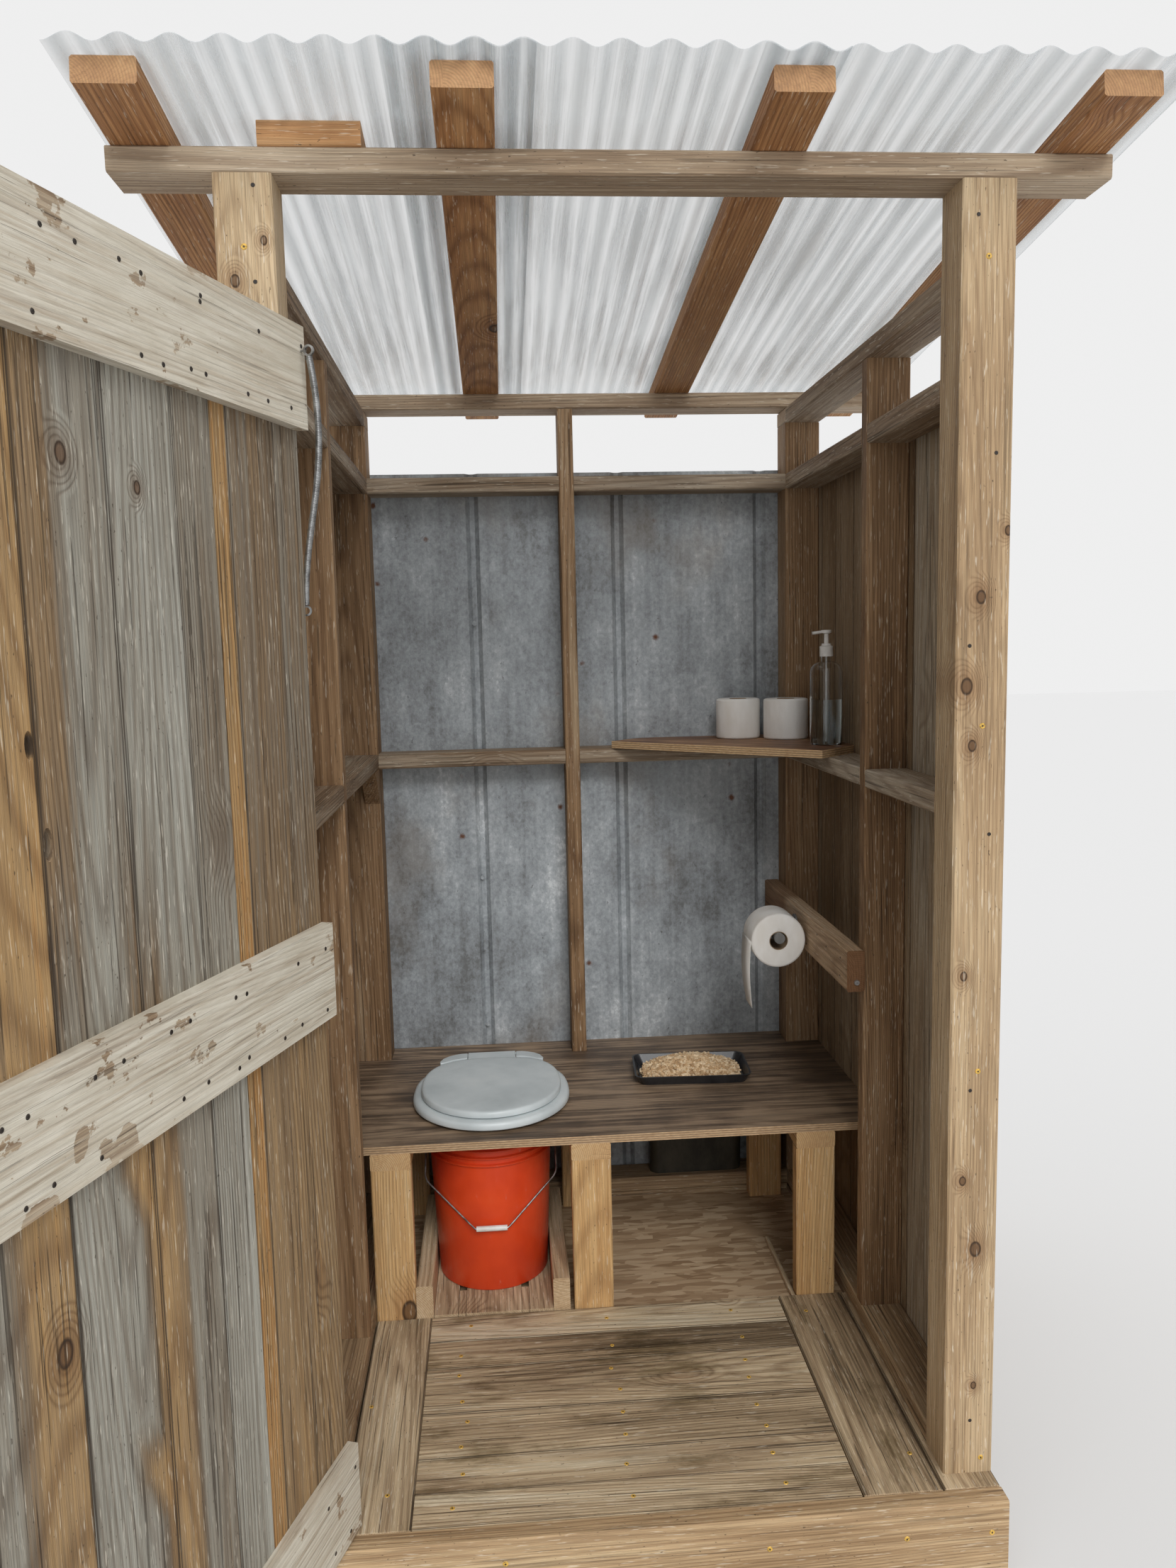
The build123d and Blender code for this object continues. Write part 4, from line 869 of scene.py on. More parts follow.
outer = oval(0.168, 0.18, 0.1795)
section = (
    (0.03, 0.0), (0.006, 0.0008), (0.0, 0.003), (0.0, 0.009), (0.006, 0.0135), (0.02, 0.0158), (0.05, 0.0166),
    (0.12, 0.0172), (0.3, 0.018), (0.6, 0.0188), (0.85, 0.019),
)
rings = [
    [(seat_mid + x * (1 - inward), seat_y + y * (1 - inward), lid_z + height) for x, y in outer]
    for inward, height in section
]
bm = bmesh.new()
rows = loft(bm, rings, closed=False)
bm.faces.new(rows[0][::-1])
bm.faces.new(rows[-1])
reach = 0.061
brick(bm, (seat_mid - reach, seat_y + 0.15, pin_z - 0.004), (seat_mid + reach, pin_y, pin_z + 0.0074))
rod(bm, (seat_mid - reach, pin_y, pin_z), (seat_mid + reach, pin_y, pin_z), 0.0075)
lid = solid("seat_lid", bm, seat_plastic, edge=0.0015)
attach(lid, "toilet_lid")
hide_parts("toilet_lid")


# Bucket: a moulded orange-red pail with stiffening bands under its rim, scuffed, with a wire
# bail that leans on its front and a plastic grip. The bail's wire and grip keep their solids.
def turned(bm, profile, place, sides=96):
    """A closed shape of revolution about Z, from (radius, height) points; radius 0 is a pole."""
    rows = []
    for radius, height in profile:
        if radius < 1e-6:
            rows.append([bm.verts.new((place[0], place[1], place[2] + height))])
            continue
        row = []
        for number in range(sides):
            angle = tau * number / sides
            x = place[0] + radius * cos(angle)
            y = place[1] + radius * sin(angle)
            row.append(bm.verts.new((x, y, place[2] + height)))
        rows.append(row)
    for one, two in zip(rows, rows[1:]):
        for number in range(sides):
            after = (number + 1) % sides
            if len(one) == 1:
                bm.faces.new((one[0], two[after], two[number]))
            elif len(two) == 1:
                bm.faces.new((one[number], one[after], two[0]))
            else:
                bm.faces.new((one[number], one[after], two[after], two[number]))


pail_plastic, tree, shader = finish_tree("pail_plastic")
coords = object_place(tree)
scuffs = mottle(tree, coords, (60.0, 60.0, 20.0), 6.0, 0.75)
fade = mottle(tree, coords, (6.0, 6.0, 6.0), 3.0)
pail_tones = ((0.3, (0.62, 0.045, 0.012)), (0.55, (0.8, 0.075, 0.016)), (0.75, (0.85, 0.13, 0.04)))
colour = graded(tree, fade, pail_tones)
colour = tint(tree, between(tree, scuffs, 0.62, 0.72, 0.0, 0.35), colour, (0.62, 0.3, 0.22, 1.0))
tree.links.new(colour, shader.inputs["Base Color"])
tree.links.new(between(tree, scuffs, 0.35, 0.7, 0.3, 0.55), shader.inputs["Roughness"])
relief(tree, shader, scuffs, 0.00015)

bucket_low, bucket_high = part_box("bucket")
bucket_place = ((bucket_low.x + bucket_high.x) / 2, (bucket_low.y + bucket_high.y) / 2, bucket_low.z)
tall, foot, neck, rim, wall = 0.368, 0.13, 0.144, 0.151, 0.0024
profile = [(0.0, 0.004), (foot - 0.018, 0.004), (foot - 0.014, 0.0), (foot - 0.004, 0.0), (foot, 0.004)]
profile.append((neck, tall - 0.058))
for low in (tall - 0.058, tall - 0.041, tall - 0.024):
    for out, above in ((0.7, 0.0005), (1.0, 0.002), (1.0, 0.004), (0.7, 0.0055), (0.0, 0.006), (0.0, 0.0165)):
        profile.append((neck + (rim - neck) * out, low + above))
profile += [(rim - 0.001, tall - 0.006), (rim, tall - 0.004), (rim, tall - 0.002), (rim - 0.002, tall)]
profile += [(neck - wall + 0.001, tall), (neck - wall, tall - 0.003), (neck - wall, tall - 0.058)]
profile += [(foot - wall, 0.006), (foot - wall - 0.003, 0.0055), (0.0, 0.0055)]
bm = bmesh.new()
turned(bm, profile, bucket_place)
ear_z = bucket_place[2] + tall - 0.066
for side in (-1, 1):
    inner = (bucket_place[0] + side * (neck - 0.002), bucket_place[1], ear_z)
    outer_end = (bucket_place[0] + side * (neck + 0.0035), bucket_place[1], ear_z)
    rod(bm, inner, outer_end, 0.011, 24)
pail = solid("pail", bm, pail_plastic, sharp=50)
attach(pail, "root")
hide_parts("bucket")

bright_wire, tree, shader = finish_tree("bright_wire")
coords = object_place(tree)
dull = mottle(tree, coords, (80.0, 80.0, 80.0), 3.0)
wire_tones = ((0.3, (0.24, 0.24, 0.24)), (0.7, (0.5, 0.51, 0.51)))
tree.links.new(graded(tree, dull, wire_tones), shader.inputs["Base Color"])
shader.inputs["Metallic"].default_value = 0.9
tree.links.new(between(tree, dull, 0.3, 0.7, 0.28, 0.5), shader.inputs["Roughness"])
dress(bright_wire, "bucket_bail")

white_plastic, tree, shader = finish_tree("white_plastic")
coords = object_place(tree)
grime = mottle(tree, coords, (40.0, 40.0, 40.0), 4.0)
grip_tones = ((0.3, (0.62, 0.6, 0.56)), (0.65, (0.8, 0.79, 0.77)))
tree.links.new(graded(tree, grime, grip_tones), shader.inputs["Base Color"])
shader.inputs["Roughness"].default_value = 0.4
dress(white_plastic, "bail_grip")


# Bin and tray: a slim dark bin on the rear plate under the bench, and a black tray on the bench
# that holds a heap of pressed wood pellets. Both are moulded plastic.
def dark_plastic(name, dark, pale, rough):
    """Moulded plastic with a little dust on it."""
    material, tree, shader = finish_tree(name)
    coords = object_place(tree)
    dust = mottle(tree, coords, (25.0, 25.0, 12.0), 5.0, 0.7)
    tree.links.new(graded(tree, dust, ((0.35, dark), (0.7, pale))), shader.inputs["Base Color"])
    shader.inputs["Roughness"].default_value = rough
    relief(tree, shader, dust, 0.0002)
    return material


dress(dark_plastic("bin_plastic", (0.02, 0.019, 0.014), (0.06, 0.055, 0.04), 0.4), "slim_bin")
dress(dark_plastic("tray_plastic", (0.012, 0.012, 0.014), (0.035, 0.035, 0.038), 0.35), "pellet_tray")

pellet_wood, tree, shader = finish_tree("pellet_wood")
coords = object_place(tree)
crumbs = mottle(tree, coords, (900.0, 900.0, 900.0), 2.0)
own = add(tree, "ShaderNodeAttribute", attribute_name="tone").outputs["Fac"]
mixed = calc(tree, "MULTIPLY_ADD", crumbs, 0.35, own)
pellet_tones = ((0.0, (0.34, 0.2, 0.1)), (0.5, (0.58, 0.4, 0.22)), (1.0, (0.76, 0.6, 0.4)))
tree.links.new(graded(tree, mixed, pellet_tones), shader.inputs["Base Color"])
shader.inputs["Roughness"].default_value = 0.7

pellets_tree, group_in, group_out = new_tree(
    "pellets", ("Thickness", "NodeSocketFloat"), ("Length", "NodeSocketFloat"),
    ("Density", "NodeSocketFloat"), ("Seed", "NodeSocketInt"), ("Finish", "NodeSocketMaterial"),
)
strewn = add(pellets_tree, "GeometryNodeDistributePointsOnFaces", {
    "Mesh": group_in["Geometry"], "Density": group_in["Density"], "Seed": group_in["Seed"],
})
pellet = add(pellets_tree, "GeometryNodeMeshCylinder", {
    "Vertices": 7, "Radius": group_in["Thickness"], "Depth": group_in["Length"],
})
lie = add(pellets_tree, "FunctionNodeRandomValue", {"Seed": 3}, data_type="FLOAT_VECTOR")
lie.inputs[0].default_value = (1.25, -0.2, 0.0)
lie.inputs[1].default_value = (1.85, 0.2, tau)
stretch = add(pellets_tree, "FunctionNodeRandomValue", {"Seed": 5}, data_type="FLOAT_VECTOR")
stretch.inputs[0].default_value = (0.9, 0.9, 0.55)
stretch.inputs[1].default_value = (1.1, 1.1, 1.3)
heaped = add(pellets_tree, "GeometryNodeInstanceOnPoints", {
    "Points": strewn.outputs[0], "Instance": pellet.outputs[0],
    "Rotation": lie.outputs[0], "Scale": stretch.outputs[0],
})
shade = add(pellets_tree, "FunctionNodeRandomValue", {"Seed": 7}, data_type="FLOAT")
named = add(pellets_tree, "GeometryNodeStoreNamedAttribute", {
    "Geometry": heaped.outputs[0], "Name": "tone", "Value": shade.outputs[1],
}, data_type="FLOAT", domain="INSTANCE")
real = add(pellets_tree, "GeometryNodeRealizeInstances", {0: named.outputs[0]})
both = add(pellets_tree, "GeometryNodeJoinGeometry", {0: real.outputs[0]})
pellets_tree.links.new(group_in["Geometry"], both.inputs[0])
end_tree(pellets_tree, both.outputs[0], group_in["Finish"], group_out)

heap_low, heap_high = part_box("pellets")
heap_x = (heap_low.x + heap_high.x) / 2
heap_y = (heap_low.y + heap_high.y) / 2
half_x, half_y = 0.118, 0.062
section = (
    (0.0, 0.005), (0.01, 0.013), (0.15, 0.021), (0.35, 0.031), (0.55, 0.039), (0.75, 0.045), (0.95, 0.048),
)
around = 64
rings = []
for inward, height in section:
    ring = []
    for number in range(around):
        angle = tau * number / around
        across, along = cos(angle), sin(angle)
        square = 1.0 / max(abs(across) ** 3 + abs(along) ** 3, 0.5) ** (1 / 3)
        ring.append((half_x * across * square * (1 - inward), half_y * along * square * (1 - inward), height))
    rings.append(ring)
bm = bmesh.new()
rows = loft(bm, rings, closed=False)
bm.faces.new(rows[0][::-1])
bm.faces.new(rows[-1])
bmesh.ops.recalc_face_normals(bm, faces=bm.faces)
heap = bpy.data.meshes.new("heap")
bm.to_mesh(heap)
bm.free()
heap.transform(Matrix.Translation((heap_x, heap_y, top_high.z)) @ Matrix.Rotation(radians(-3), 4, "Z"))
values = {"Thickness": 0.0032, "Length": 0.019, "Density": 38000.0, "Seed": 2, "Finish": pellet_wood}
pellet_heap = grown("pellet_heap", heap, pellets_tree, values)
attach(pellet_heap, "root")
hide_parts("pellets")


# Corner shelf: an off-cut of reddish plywood laid across the middle girts at forty-five degrees.
# Its thick edge shows light and dark plies.
shelf_low, shelf_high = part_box("corner_shelf")
ruddy = ((0.3, (0.13, 0.055, 0.022)), (0.5, (0.27, 0.13, 0.06)), (0.72, (0.42, 0.24, 0.12)))
ruddy_cut = ((0.3, (0.45, 0.27, 0.13)), (0.7, (0.68, 0.49, 0.29)))
plies = 7 / (shelf_high.z - shelf_low.z)
dress(plywood("shelf_plywood", ruddy, ruddy_cut, shelf_low.z, plies, radians(44)), "corner_shelf")


# Paper rolls: two spare rolls on the shelf and one on the peg, each soft white paper wound on a
# brown card tube. The hanging roll's loose end falls behind it.
paper, tree, shader = finish_tree("paper")
coords = object_place(tree)
crepe = mottle(tree, coords, (700.0, 700.0, 160.0), 3.0)
crease = mottle(tree, coords, (22.0, 22.0, 9.0), 3.0)
paper_tones = ((0.3, (0.78, 0.75, 0.7)), (0.6, (0.88, 0.87, 0.84)))
tree.links.new(graded(tree, crease, paper_tones), shader.inputs["Base Color"])
shader.inputs["Roughness"].default_value = 0.95
shader.inputs["Specular IOR Level"].default_value = 0.15
relief(tree, shader, calc(tree, "MULTIPLY_ADD", crease, 4.0, crepe), 0.0007)
card, tree, shader = finish_tree("card_tube")
coords = object_place(tree)
fibres = mottle(tree, coords, (60.0, 60.0, 60.0), 3.0)
card_tones = ((0.3, (0.3, 0.21, 0.13)), (0.7, (0.42, 0.31, 0.2)))
tree.links.new(graded(tree, fibres, card_tones), shader.inputs["Base Color"])
shader.inputs["Roughness"].default_value = 0.9


def paper_roll(name, radius, tall, place, node):
    """A wound roll with soft edges and its card tube, each as a piece that stands for the node."""
    core = 0.021
    profile = [(core + 0.0014, 0.001), (radius - 0.006, 0.0), (radius - 0.001, 0.002), (radius, 0.006)]
    profile += [(radius, tall - 0.006), (radius - 0.001, tall - 0.002), (radius - 0.006, tall)]
    profile += [(radius * 0.7, tall - 0.0015), (core + 0.0014, tall - 0.001), (core + 0.0014, 0.001)]
    bm = bmesh.new()
    turned(bm, profile, (0.0, 0.0, 0.0), 64)
    bmesh.ops.remove_doubles(bm, verts=bm.verts, dist=1e-6)
    wound = solid(name, bm, paper, 60)
    bm = bmesh.new()
    outside = core + 0.0012
    profile = [(core, 0.0), (outside, 0.0), (outside, tall), (core, tall), (core, 0.0)]
    turned(bm, profile, (0.0, 0.0, 0.0), 40)
    bmesh.ops.remove_doubles(bm, verts=bm.verts, dist=1e-6)
    tube = solid(name + "_tube", bm, card, 40)
    for piece in (wound, tube):
        piece.data.transform(place)
        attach(piece, "root")
        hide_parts(node)


spare_radius, spare_tall, hung_radius = 0.057, 0.104, 0.065
spare_low, spare_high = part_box("spare_rolls")
first = Vector((spare_low.x + spare_radius, spare_high.y - spare_radius, spare_low.z))
second = Vector((spare_high.x - spare_radius, spare_low.y + spare_radius, spare_low.z))
paper_roll("left_spare_roll", spare_radius, spare_tall, Matrix.Translation(first), "spare_rolls")
paper_roll("right_spare_roll", spare_radius, spare_tall, Matrix.Translation(second), "spare_rolls")
roll_low, roll_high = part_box("paper_roll")
roll_x = (roll_low.x + roll_high.x) / 2
roll_z = roll_high.z - hung_radius
lying = Matrix.Translation((roll_x, roll_low.y, roll_z)) @ Matrix.Rotation(radians(-90), 4, "X")
paper_roll("hanging_roll", hung_radius, roll_high.y - roll_low.y, lying, "paper_roll")
bm = bmesh.new()
steps = 22
drop = roll_z - roll_low.z
for number in range(steps + 1):
    down = number / steps
    out = -0.0655 + 0.008 * down ** 2 - 0.005 * sin(pi * down)
    for y in (roll_low.y + 0.001 + 0.03 * down ** 3, roll_high.y - 0.001):
        bm.verts.new((roll_x + out, y, roll_z - drop * down))
bm.verts.ensure_lookup_table()
for number in range(steps):
    low = 2 * number
    bm.faces.new((bm.verts[low], bm.verts[low + 1], bm.verts[low + 3], bm.verts[low + 2]))
tail = solid("paper_tail", bm, paper, 180)
ply_thickness = tail.modifiers.new("ply", "SOLIDIFY")
ply_thickness.thickness = 0.0007
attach(tail, "root")
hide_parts("paper_roll")


# Paper rail: a stick nailed flat across the right-hand studs, with painted shade over its back part,
# and a bolt near its front end. The grey plastic peg on it keeps its solid.
rail_tones = (
    (0.12, (0.3, 0.18, 0.1)), (0.38, (0.5, 0.34, 0.2)),
    (0.6, (0.64, 0.46, 0.3)), (0.85, (0.74, 0.6, 0.43)),
)
rail_wood = sawn_wood("rail_wood", "Y", rail_tones, 0.5, 0.6, 0.3, 0.2, 0.3)
rail_low, rail_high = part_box("paper_rail")
tree = rail_wood.node_tree
y = xyz(tree, object_place(tree))[1]
# Painted shade over the back part of the rail.
lay_colour(tree, between(tree, y, rail_high.y - 0.27, rail_high.y - 0.2, 0.0, 0.75), (0.42, 0.3, 0.22, 1.0))
lay_colour(tree, calc(tree, "LESS_THAN", y, rail_low.y + 0.0012), (0.4, 0.29, 0.22, 1.0))
dress(rail_wood, "paper_rail")
dress(dark_plastic("peg_plastic", (0.1, 0.1, 0.1), (0.2, 0.2, 0.19), 0.45), "paper_peg")
bolt_z = rail_low.z + 0.02
end = ((rail_low.x + rail_high.x) / 2 + 0.002, rail_low.y + 0.0004, bolt_z)
bolt_zinc = screw_finish("bolt_zinc", grey(0.45), grey(0.3), 0.7)
heads("rail_bolt", [(end, front)], 0.0065, 0.004, bolt_zinc)
driven = [
    ((rail_low.x + 0.0003, rail_low.y + along, rail_low.z + up_by), (-1.0, 0.0, 0.0))
    for along, up_by in ((0.05, 0.062), (0.052, 0.022), (0.16, 0.058), (0.235, 0.066), (0.33, 0.02))
]
heads("rail_nails", driven, 0.0026, 0.0008, black)


# Pump bottle: clear plastic with a narrow neck, over half full of a clear liquid. Its collar and
# pump are white plastic, with a tube down into the liquid.
def see_through(name, colour, rough, ior):
    """A clear plastic or liquid."""
    material, tree, shader = finish_tree(name)
    shader.inputs["Base Color"].default_value = colour
    shader.inputs["Roughness"].default_value = rough
    shader.inputs["Transmission Weight"].default_value = 1.0
    shader.inputs["IOR"].default_value = ior
    return material


clear_plastic = see_through("clear_plastic", (0.93, 0.95, 0.96, 1.0), 0.04, 1.3)
gel = see_through("clear_gel", (0.86, 0.93, 0.95, 1.0), 0.02, 1.34)
bottle_low, bottle_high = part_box("pump_bottle")
bottle_place = ((bottle_low.x + bottle_high.x) / 2, (bottle_low.y + bottle_high.y) / 2, bottle_low.z)
girth, shoulder, throat, mouth, fill = 0.039, 0.174, 0.0125, 0.215, 0.109
shape = [(girth - 0.004, 0.0), (girth - 0.001, 0.0015), (girth, 0.005), (girth, shoulder)]
for number in range(1, 9):
    angle = pi / 2 * number / 8
    shape.append((throat + (girth - throat) * cos(angle), shoulder + 0.026 * sin(angle)))
shape.append((throat, mouth))
inner = [(max(radius - 0.0014, 0.0), max(height, 0.002)) for radius, height in reversed(shape)]
bm = bmesh.new()
turned(bm, [(0.0, 0.0), *shape, *inner, (0.0, 0.002)], bottle_place, 48)
bottle = solid("bottle", bm, clear_plastic, 60)
bm = bmesh.new()
inside = girth - 0.002
shape = [(0.0, 0.0026), (girth - 0.004, 0.0026), (inside, 0.005), (inside, fill), (0.0, fill)]
turned(bm, shape, bottle_place, 48)
liquid = solid("bottle_liquid", bm, gel, 40)
bm = bmesh.new()
collar = [(0.0, 0.212), (0.016, 0.212), (0.016, 0.236), (0.0115, 0.238), (0.011, 0.243), (0.0, 0.243)]
stem = [(0.0, 0.243), (0.0055, 0.243), (0.0055, 0.266), (0.012, 0.2685), (0.0125, 0.275), (0.0, 0.275)]
tube = [(0.0, 0.01), (0.0018, 0.01), (0.0018, 0.213), (0.0, 0.213)]
for shape, sides in ((collar, 40), (stem, 32), (tube, 12)):
    turned(bm, shape, bottle_place, sides)
tip = Vector((bottle_place[0] - 0.034, bottle_place[1], bottle_place[2] + 0.268))
rod(bm, tip, tip + Vector((0.028, 0.0, 0.0035)), 0.0036, 16)
pump = solid("bottle_pump", bm, white_plastic, 40)
for piece in (bottle, liquid, pump):
    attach(piece, "root")
    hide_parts("pump_bottle")


# Door: nine upright boards of every colour nailed to three cross battens, which were once washed
# cream and have peeled; two of the boards have a knot hole. Made shut, then swung open about its
# pins on the left post.
door_open = radians(-108.6)
leaf_low_x, leaf_high_x = -0.53, 0.53
plank = 0.019
inner_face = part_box("front_post_left")[0].y + plank
pivot = Vector((post_high.x + 0.0005, post_low.y - 0.006, 0.0))
swing = Matrix.Translation(pivot) @ Matrix.Rotation(door_open, 4, "Z") @ Matrix.Translation(-pivot)
leaf_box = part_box("door_boards")
leaf_z = (leaf_box[0].z, leaf_box[1].z)
door_tones = (
    (0.0, (0.5, 0.49, 0.43)), (0.2, (0.36, 0.34, 0.285)), (0.4, (0.27, 0.23, 0.175)),
    (0.55, (0.25, 0.175, 0.105)), (0.72, (0.36, 0.24, 0.125)),
    (0.88, (0.46, 0.29, 0.13)), (1.0, (0.5, 0.26, 0.09)),
)
leaf_turn = (0.0, 0.0, -door_open)
to_leaf = Matrix.Rotation(-door_open, 3, "Z") @ pivot - pivot
door_branches = ((0.113, 0.89, 0.012), (0.013, 1.881, 0.009), (-0.12, 1.86, 0.006))
door_wood = sawn_wood(
    "door_wood", "Z", door_tones, 0.28, 0.22, 0.42, 0.12, 0.6, rough=0.75, bump=1.3, turn=leaf_turn,
    branches=[(to_leaf.x + x, z, radius) for x, z, radius in door_branches],
)
joints = (leaf_low_x, -0.453, -0.325, -0.287, -0.198, -0.062, 0.088, 0.232, 0.382, leaf_high_x)
tones = (-0.08, 0.02, 0.42, -0.14, -0.34, -0.3, 0.3, -0.18, 0.1)
upright = []
for number, (low, high) in enumerate(zip(joints, joints[1:])):
    spans = ((low + 0.0003, high - 0.0006), (inner_face - plank, inner_face), leaf_z)
    upright.append((spans, number))
knot_holes = {5: (0.079, 1.458, 0.0075, 0.019), 6: (0.096, 1.567, 0.007, 0.016)}
whole = [board for number, board in enumerate(upright) if number not in knot_holes]
leaf_cuts, leaf_wander, leaf_edge = (5, 2, 26), 0.0014, 0.002
leaf = [boards("door_leaf", whole, leaf_cuts, door_wood, leaf_wander, leaf_edge, seed=8)]
for number, (x, z, wide, tall) in knot_holes.items():
    name = f"pierced_board_{number}"
    board = boards(name, [upright[number]], leaf_cuts, door_wood, leaf_wander, leaf_edge, seed=number)
    shift = board.data.attributes["shift"].data[0].value
    bm = bmesh.new()
    bore = Matrix.Translation((x, inner_face - plank / 2, z)) @ Matrix.Diagonal((wide, 1.0, tall, 1.0))
    bore @= Matrix.Rotation(pi / 2, 4, "X")
    bmesh.ops.create_cone(bm, cap_ends=True, segments=18, radius1=1, radius2=1, depth=0.06, matrix=bore)
    borer = solid("borer", bm, door_wood)
    cut = board.modifiers.new("cut", "BOOLEAN")
    cut.operation = "DIFFERENCE"
    cut.object = borer
    pierced = bpy.data.meshes.new_from_object(board.evaluated_get(bpy.context.evaluated_depsgraph_get()))
    board.modifiers.clear()
    board.data = pierced
    bpy.data.objects.remove(borer)
    low, high = upright[number][0][0]
    count = len(pierced.vertices)
    edges = [(2 * vertex.co.x - low - high) / (high - low) for vertex in pierced.vertices]
    for label, values in (("edge", edges), ("tone", [number] * count), ("shift", [shift] * count)):
        pierced.attributes.remove(pierced.attributes[label])
        pierced.attributes.new(label, "FLOAT", "POINT").data.foreach_set("value", values)
    leaf.append(board)
# A board's colour can differ at its foot or its head, from one share of its width to another.
stretches = (
    (0, 0.0, 1.0, "foot", 0.16), (1, 0.0, 1.0, "foot", 0.22), (3, 0.0, 1.0, "foot", -0.4),
    (4, 0.0, 0.6, "foot", -0.16), (4, 0.7, 1.0, "foot", 0.3), (5, 0.0, 0.2, "foot", 0.3),
    (5, 0.7, 1.0, "head", 0.16), (6, 0.7, 1.0, "foot", -0.2),
)
foot_ends, head_starts, slack = 0.425, 0.675, 0.05
for piece in leaf:
    for vertex, own in zip(piece.data.vertices, piece.data.attributes["tone"].data):
        number = round(own.value)
        own.value = tones[number]
        over = (vertex.co.x - joints[number]) / (joints[number + 1] - joints[number])
        up_leaf = (vertex.co.z - leaf_z[0]) / (leaf_z[1] - leaf_z[0])
        head = min(max((up_leaf - foot_ends) / (head_starts - foot_ends), 0.0), 1.0)
        for board_number, start, stop, part, tone in stretches:
            if board_number == number and start - slack < over < stop + slack:
                own.value += (tone - own.value) * (head if part == "head" else 1.0 - head)
    piece.data.transform(swing)
    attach(piece, "door")
    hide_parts("door_boards")
batten_tones = (
    (0.1, (0.2, 0.13, 0.08)), (0.3, (0.34, 0.24, 0.15)),
    (0.5, (0.46, 0.36, 0.25)), (0.8, (0.58, 0.49, 0.37)),
)
batten_wood = sawn_wood("batten_wood", "X", batten_tones, 0.5, 0.6, 0.4, 0.1, 0.5, bump=1.2, turn=leaf_turn)
tree = batten_wood.node_tree
flat = add(tree, "ShaderNodeMapping", {"Vector": object_place(tree), "Rotation": leaf_turn}).outputs[0]
peel = mottle(tree, flat, (17.0, 17.0, 22.0), 5.0, 0.6)
scrape = mottle(tree, flat, (4.0, 60.0, 130.0), 4.0, 0.65)
kept = between(tree, peel, 0.36, 0.385)
kept = calc(tree, "MULTIPLY", kept, between(tree, scrape, 0.3, 0.6, 0.35, 0.94))
bare_spots = ((0.089, 1.128, 0.014, 0.021), (0.006, 1.096, 0.019, 0.021), (0.152, 1.079, 0.042, 0.015))
for x, z, wide, tall in bare_spots:
    near = apart(tree, flat, to_leaf.x + x, z, (1 / wide, 0.0, 1 / tall))
    ragged = calc(tree, "MULTIPLY_ADD", peel, 2.4, near)
    kept = calc(tree, "MULTIPLY", kept, between(tree, ragged, 2.1, 2.18))
wash_tones = ((0.3, (0.56, 0.51, 0.41)), (0.7, (0.72, 0.68, 0.58)))
wash = graded(tree, mottle(tree, flat, (9.0, 9.0, 40.0), 5.0, 0.7), wash_tones)
lay_colour(tree, kept, wash, "MIX")
dress(batten_wood, "door_batten_bottom", "door_batten_middle", "door_batten_top")
battens = [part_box("door_batten_" + name) for name in ("bottom", "middle", "top")]
inward = (swing.to_3x3() @ Vector((0.0, 1.0, 0.0)))[:]
outward = (swing.to_3x3() @ Vector(front))[:]
batten_face, board_face = inner_face + 0.0192, inner_face - 0.0186
upper_row = (0.2, 0.163, 0.056, 0.005, -0.089, -0.13, -0.238, -0.266, -0.413, -0.502)
lower_row = (0.176, 0.133, 0.055, -0.106, -0.162, -0.237, -0.263, -0.363, -0.416, -0.499)
driven = []
for number, (low, high) in enumerate(battens):
    for row, z in ((upper_row, high.z - 0.035), (lower_row, low.z + 0.021)):
        for x in (*row, 0.28, 0.34, 0.43, 0.49):
            x += (number - 1) * chance.uniform(-0.02, 0.02)
            z_here = z + chance.uniform(-0.005, 0.005)
            driven.append(((swing @ Vector((x, batten_face, z_here)))[:], inward))
            driven.append(((swing @ Vector((x, board_face, z_here)))[:], outward))
heads("door_nails", driven, 0.0034, 0.0007, black, "door")


# Hinges: two long tapered strap hinges on the door's outer face, their plates on the post, with
# pins through the knuckles. Painted steel, dark and a little rusty.
dark_steel, tree, shader = finish_tree("dark_steel")
coords = object_place(tree)
rust = mottle(tree, coords, (45.0, 45.0, 45.0), 6.0, 0.7)
steel = ((0.4, (0.035, 0.034, 0.036)), (0.58, (0.06, 0.05, 0.045)), (0.72, (0.17, 0.075, 0.035)))
tree.links.new(graded(tree, rust, steel), shader.inputs["Base Color"])
shader.inputs["Metallic"].default_value = 0.5
tree.links.new(between(tree, rust, 0.4, 0.7, 0.4, 0.8), shader.inputs["Roughness"])
relief(tree, shader, rust, 0.0004)
dress(dark_steel, "hinge_straps", "hinge_plates")


# Door spring: a long close-wound coil of bright wire between an eye on the top batten and an eye
# on the post. It is drawn curved for the door's open place. The eyes keep their solids.
dress(bright_wire, "door_eye", "post_eye")
spring_tree, group_in, group_out = new_tree(
    "coil", ("Turns", "NodeSocketFloat"), ("Radius", "NodeSocketFloat"), ("Wire", "NodeSocketFloat"),
    ("Finish", "NodeSocketMaterial"),
)
route = add(spring_tree, "GeometryNodeMeshToCurve", {0: group_in["Geometry"]})
route = add(spring_tree, "GeometryNodeCurveSplineType", {0: route.outputs[0]}, spline_type="CATMULL_ROM")
coil = add(spring_tree, "GeometryNodeCurveSpiral", {
    "Resolution": 14, "Rotations": group_in["Turns"], "Start Radius": group_in["Radius"],
    "End Radius": group_in["Radius"], "Height": 1.0,
})
where = add(spring_tree, "GeometryNodeInputPosition").outputs[0]
x, y, z = xyz(spring_tree, where)
inputs = {"Curves": route.outputs[0], "Factor": z}
there = add(spring_tree, "GeometryNodeSampleCurve", inputs, mode="FACTOR", use_all_curves=True)
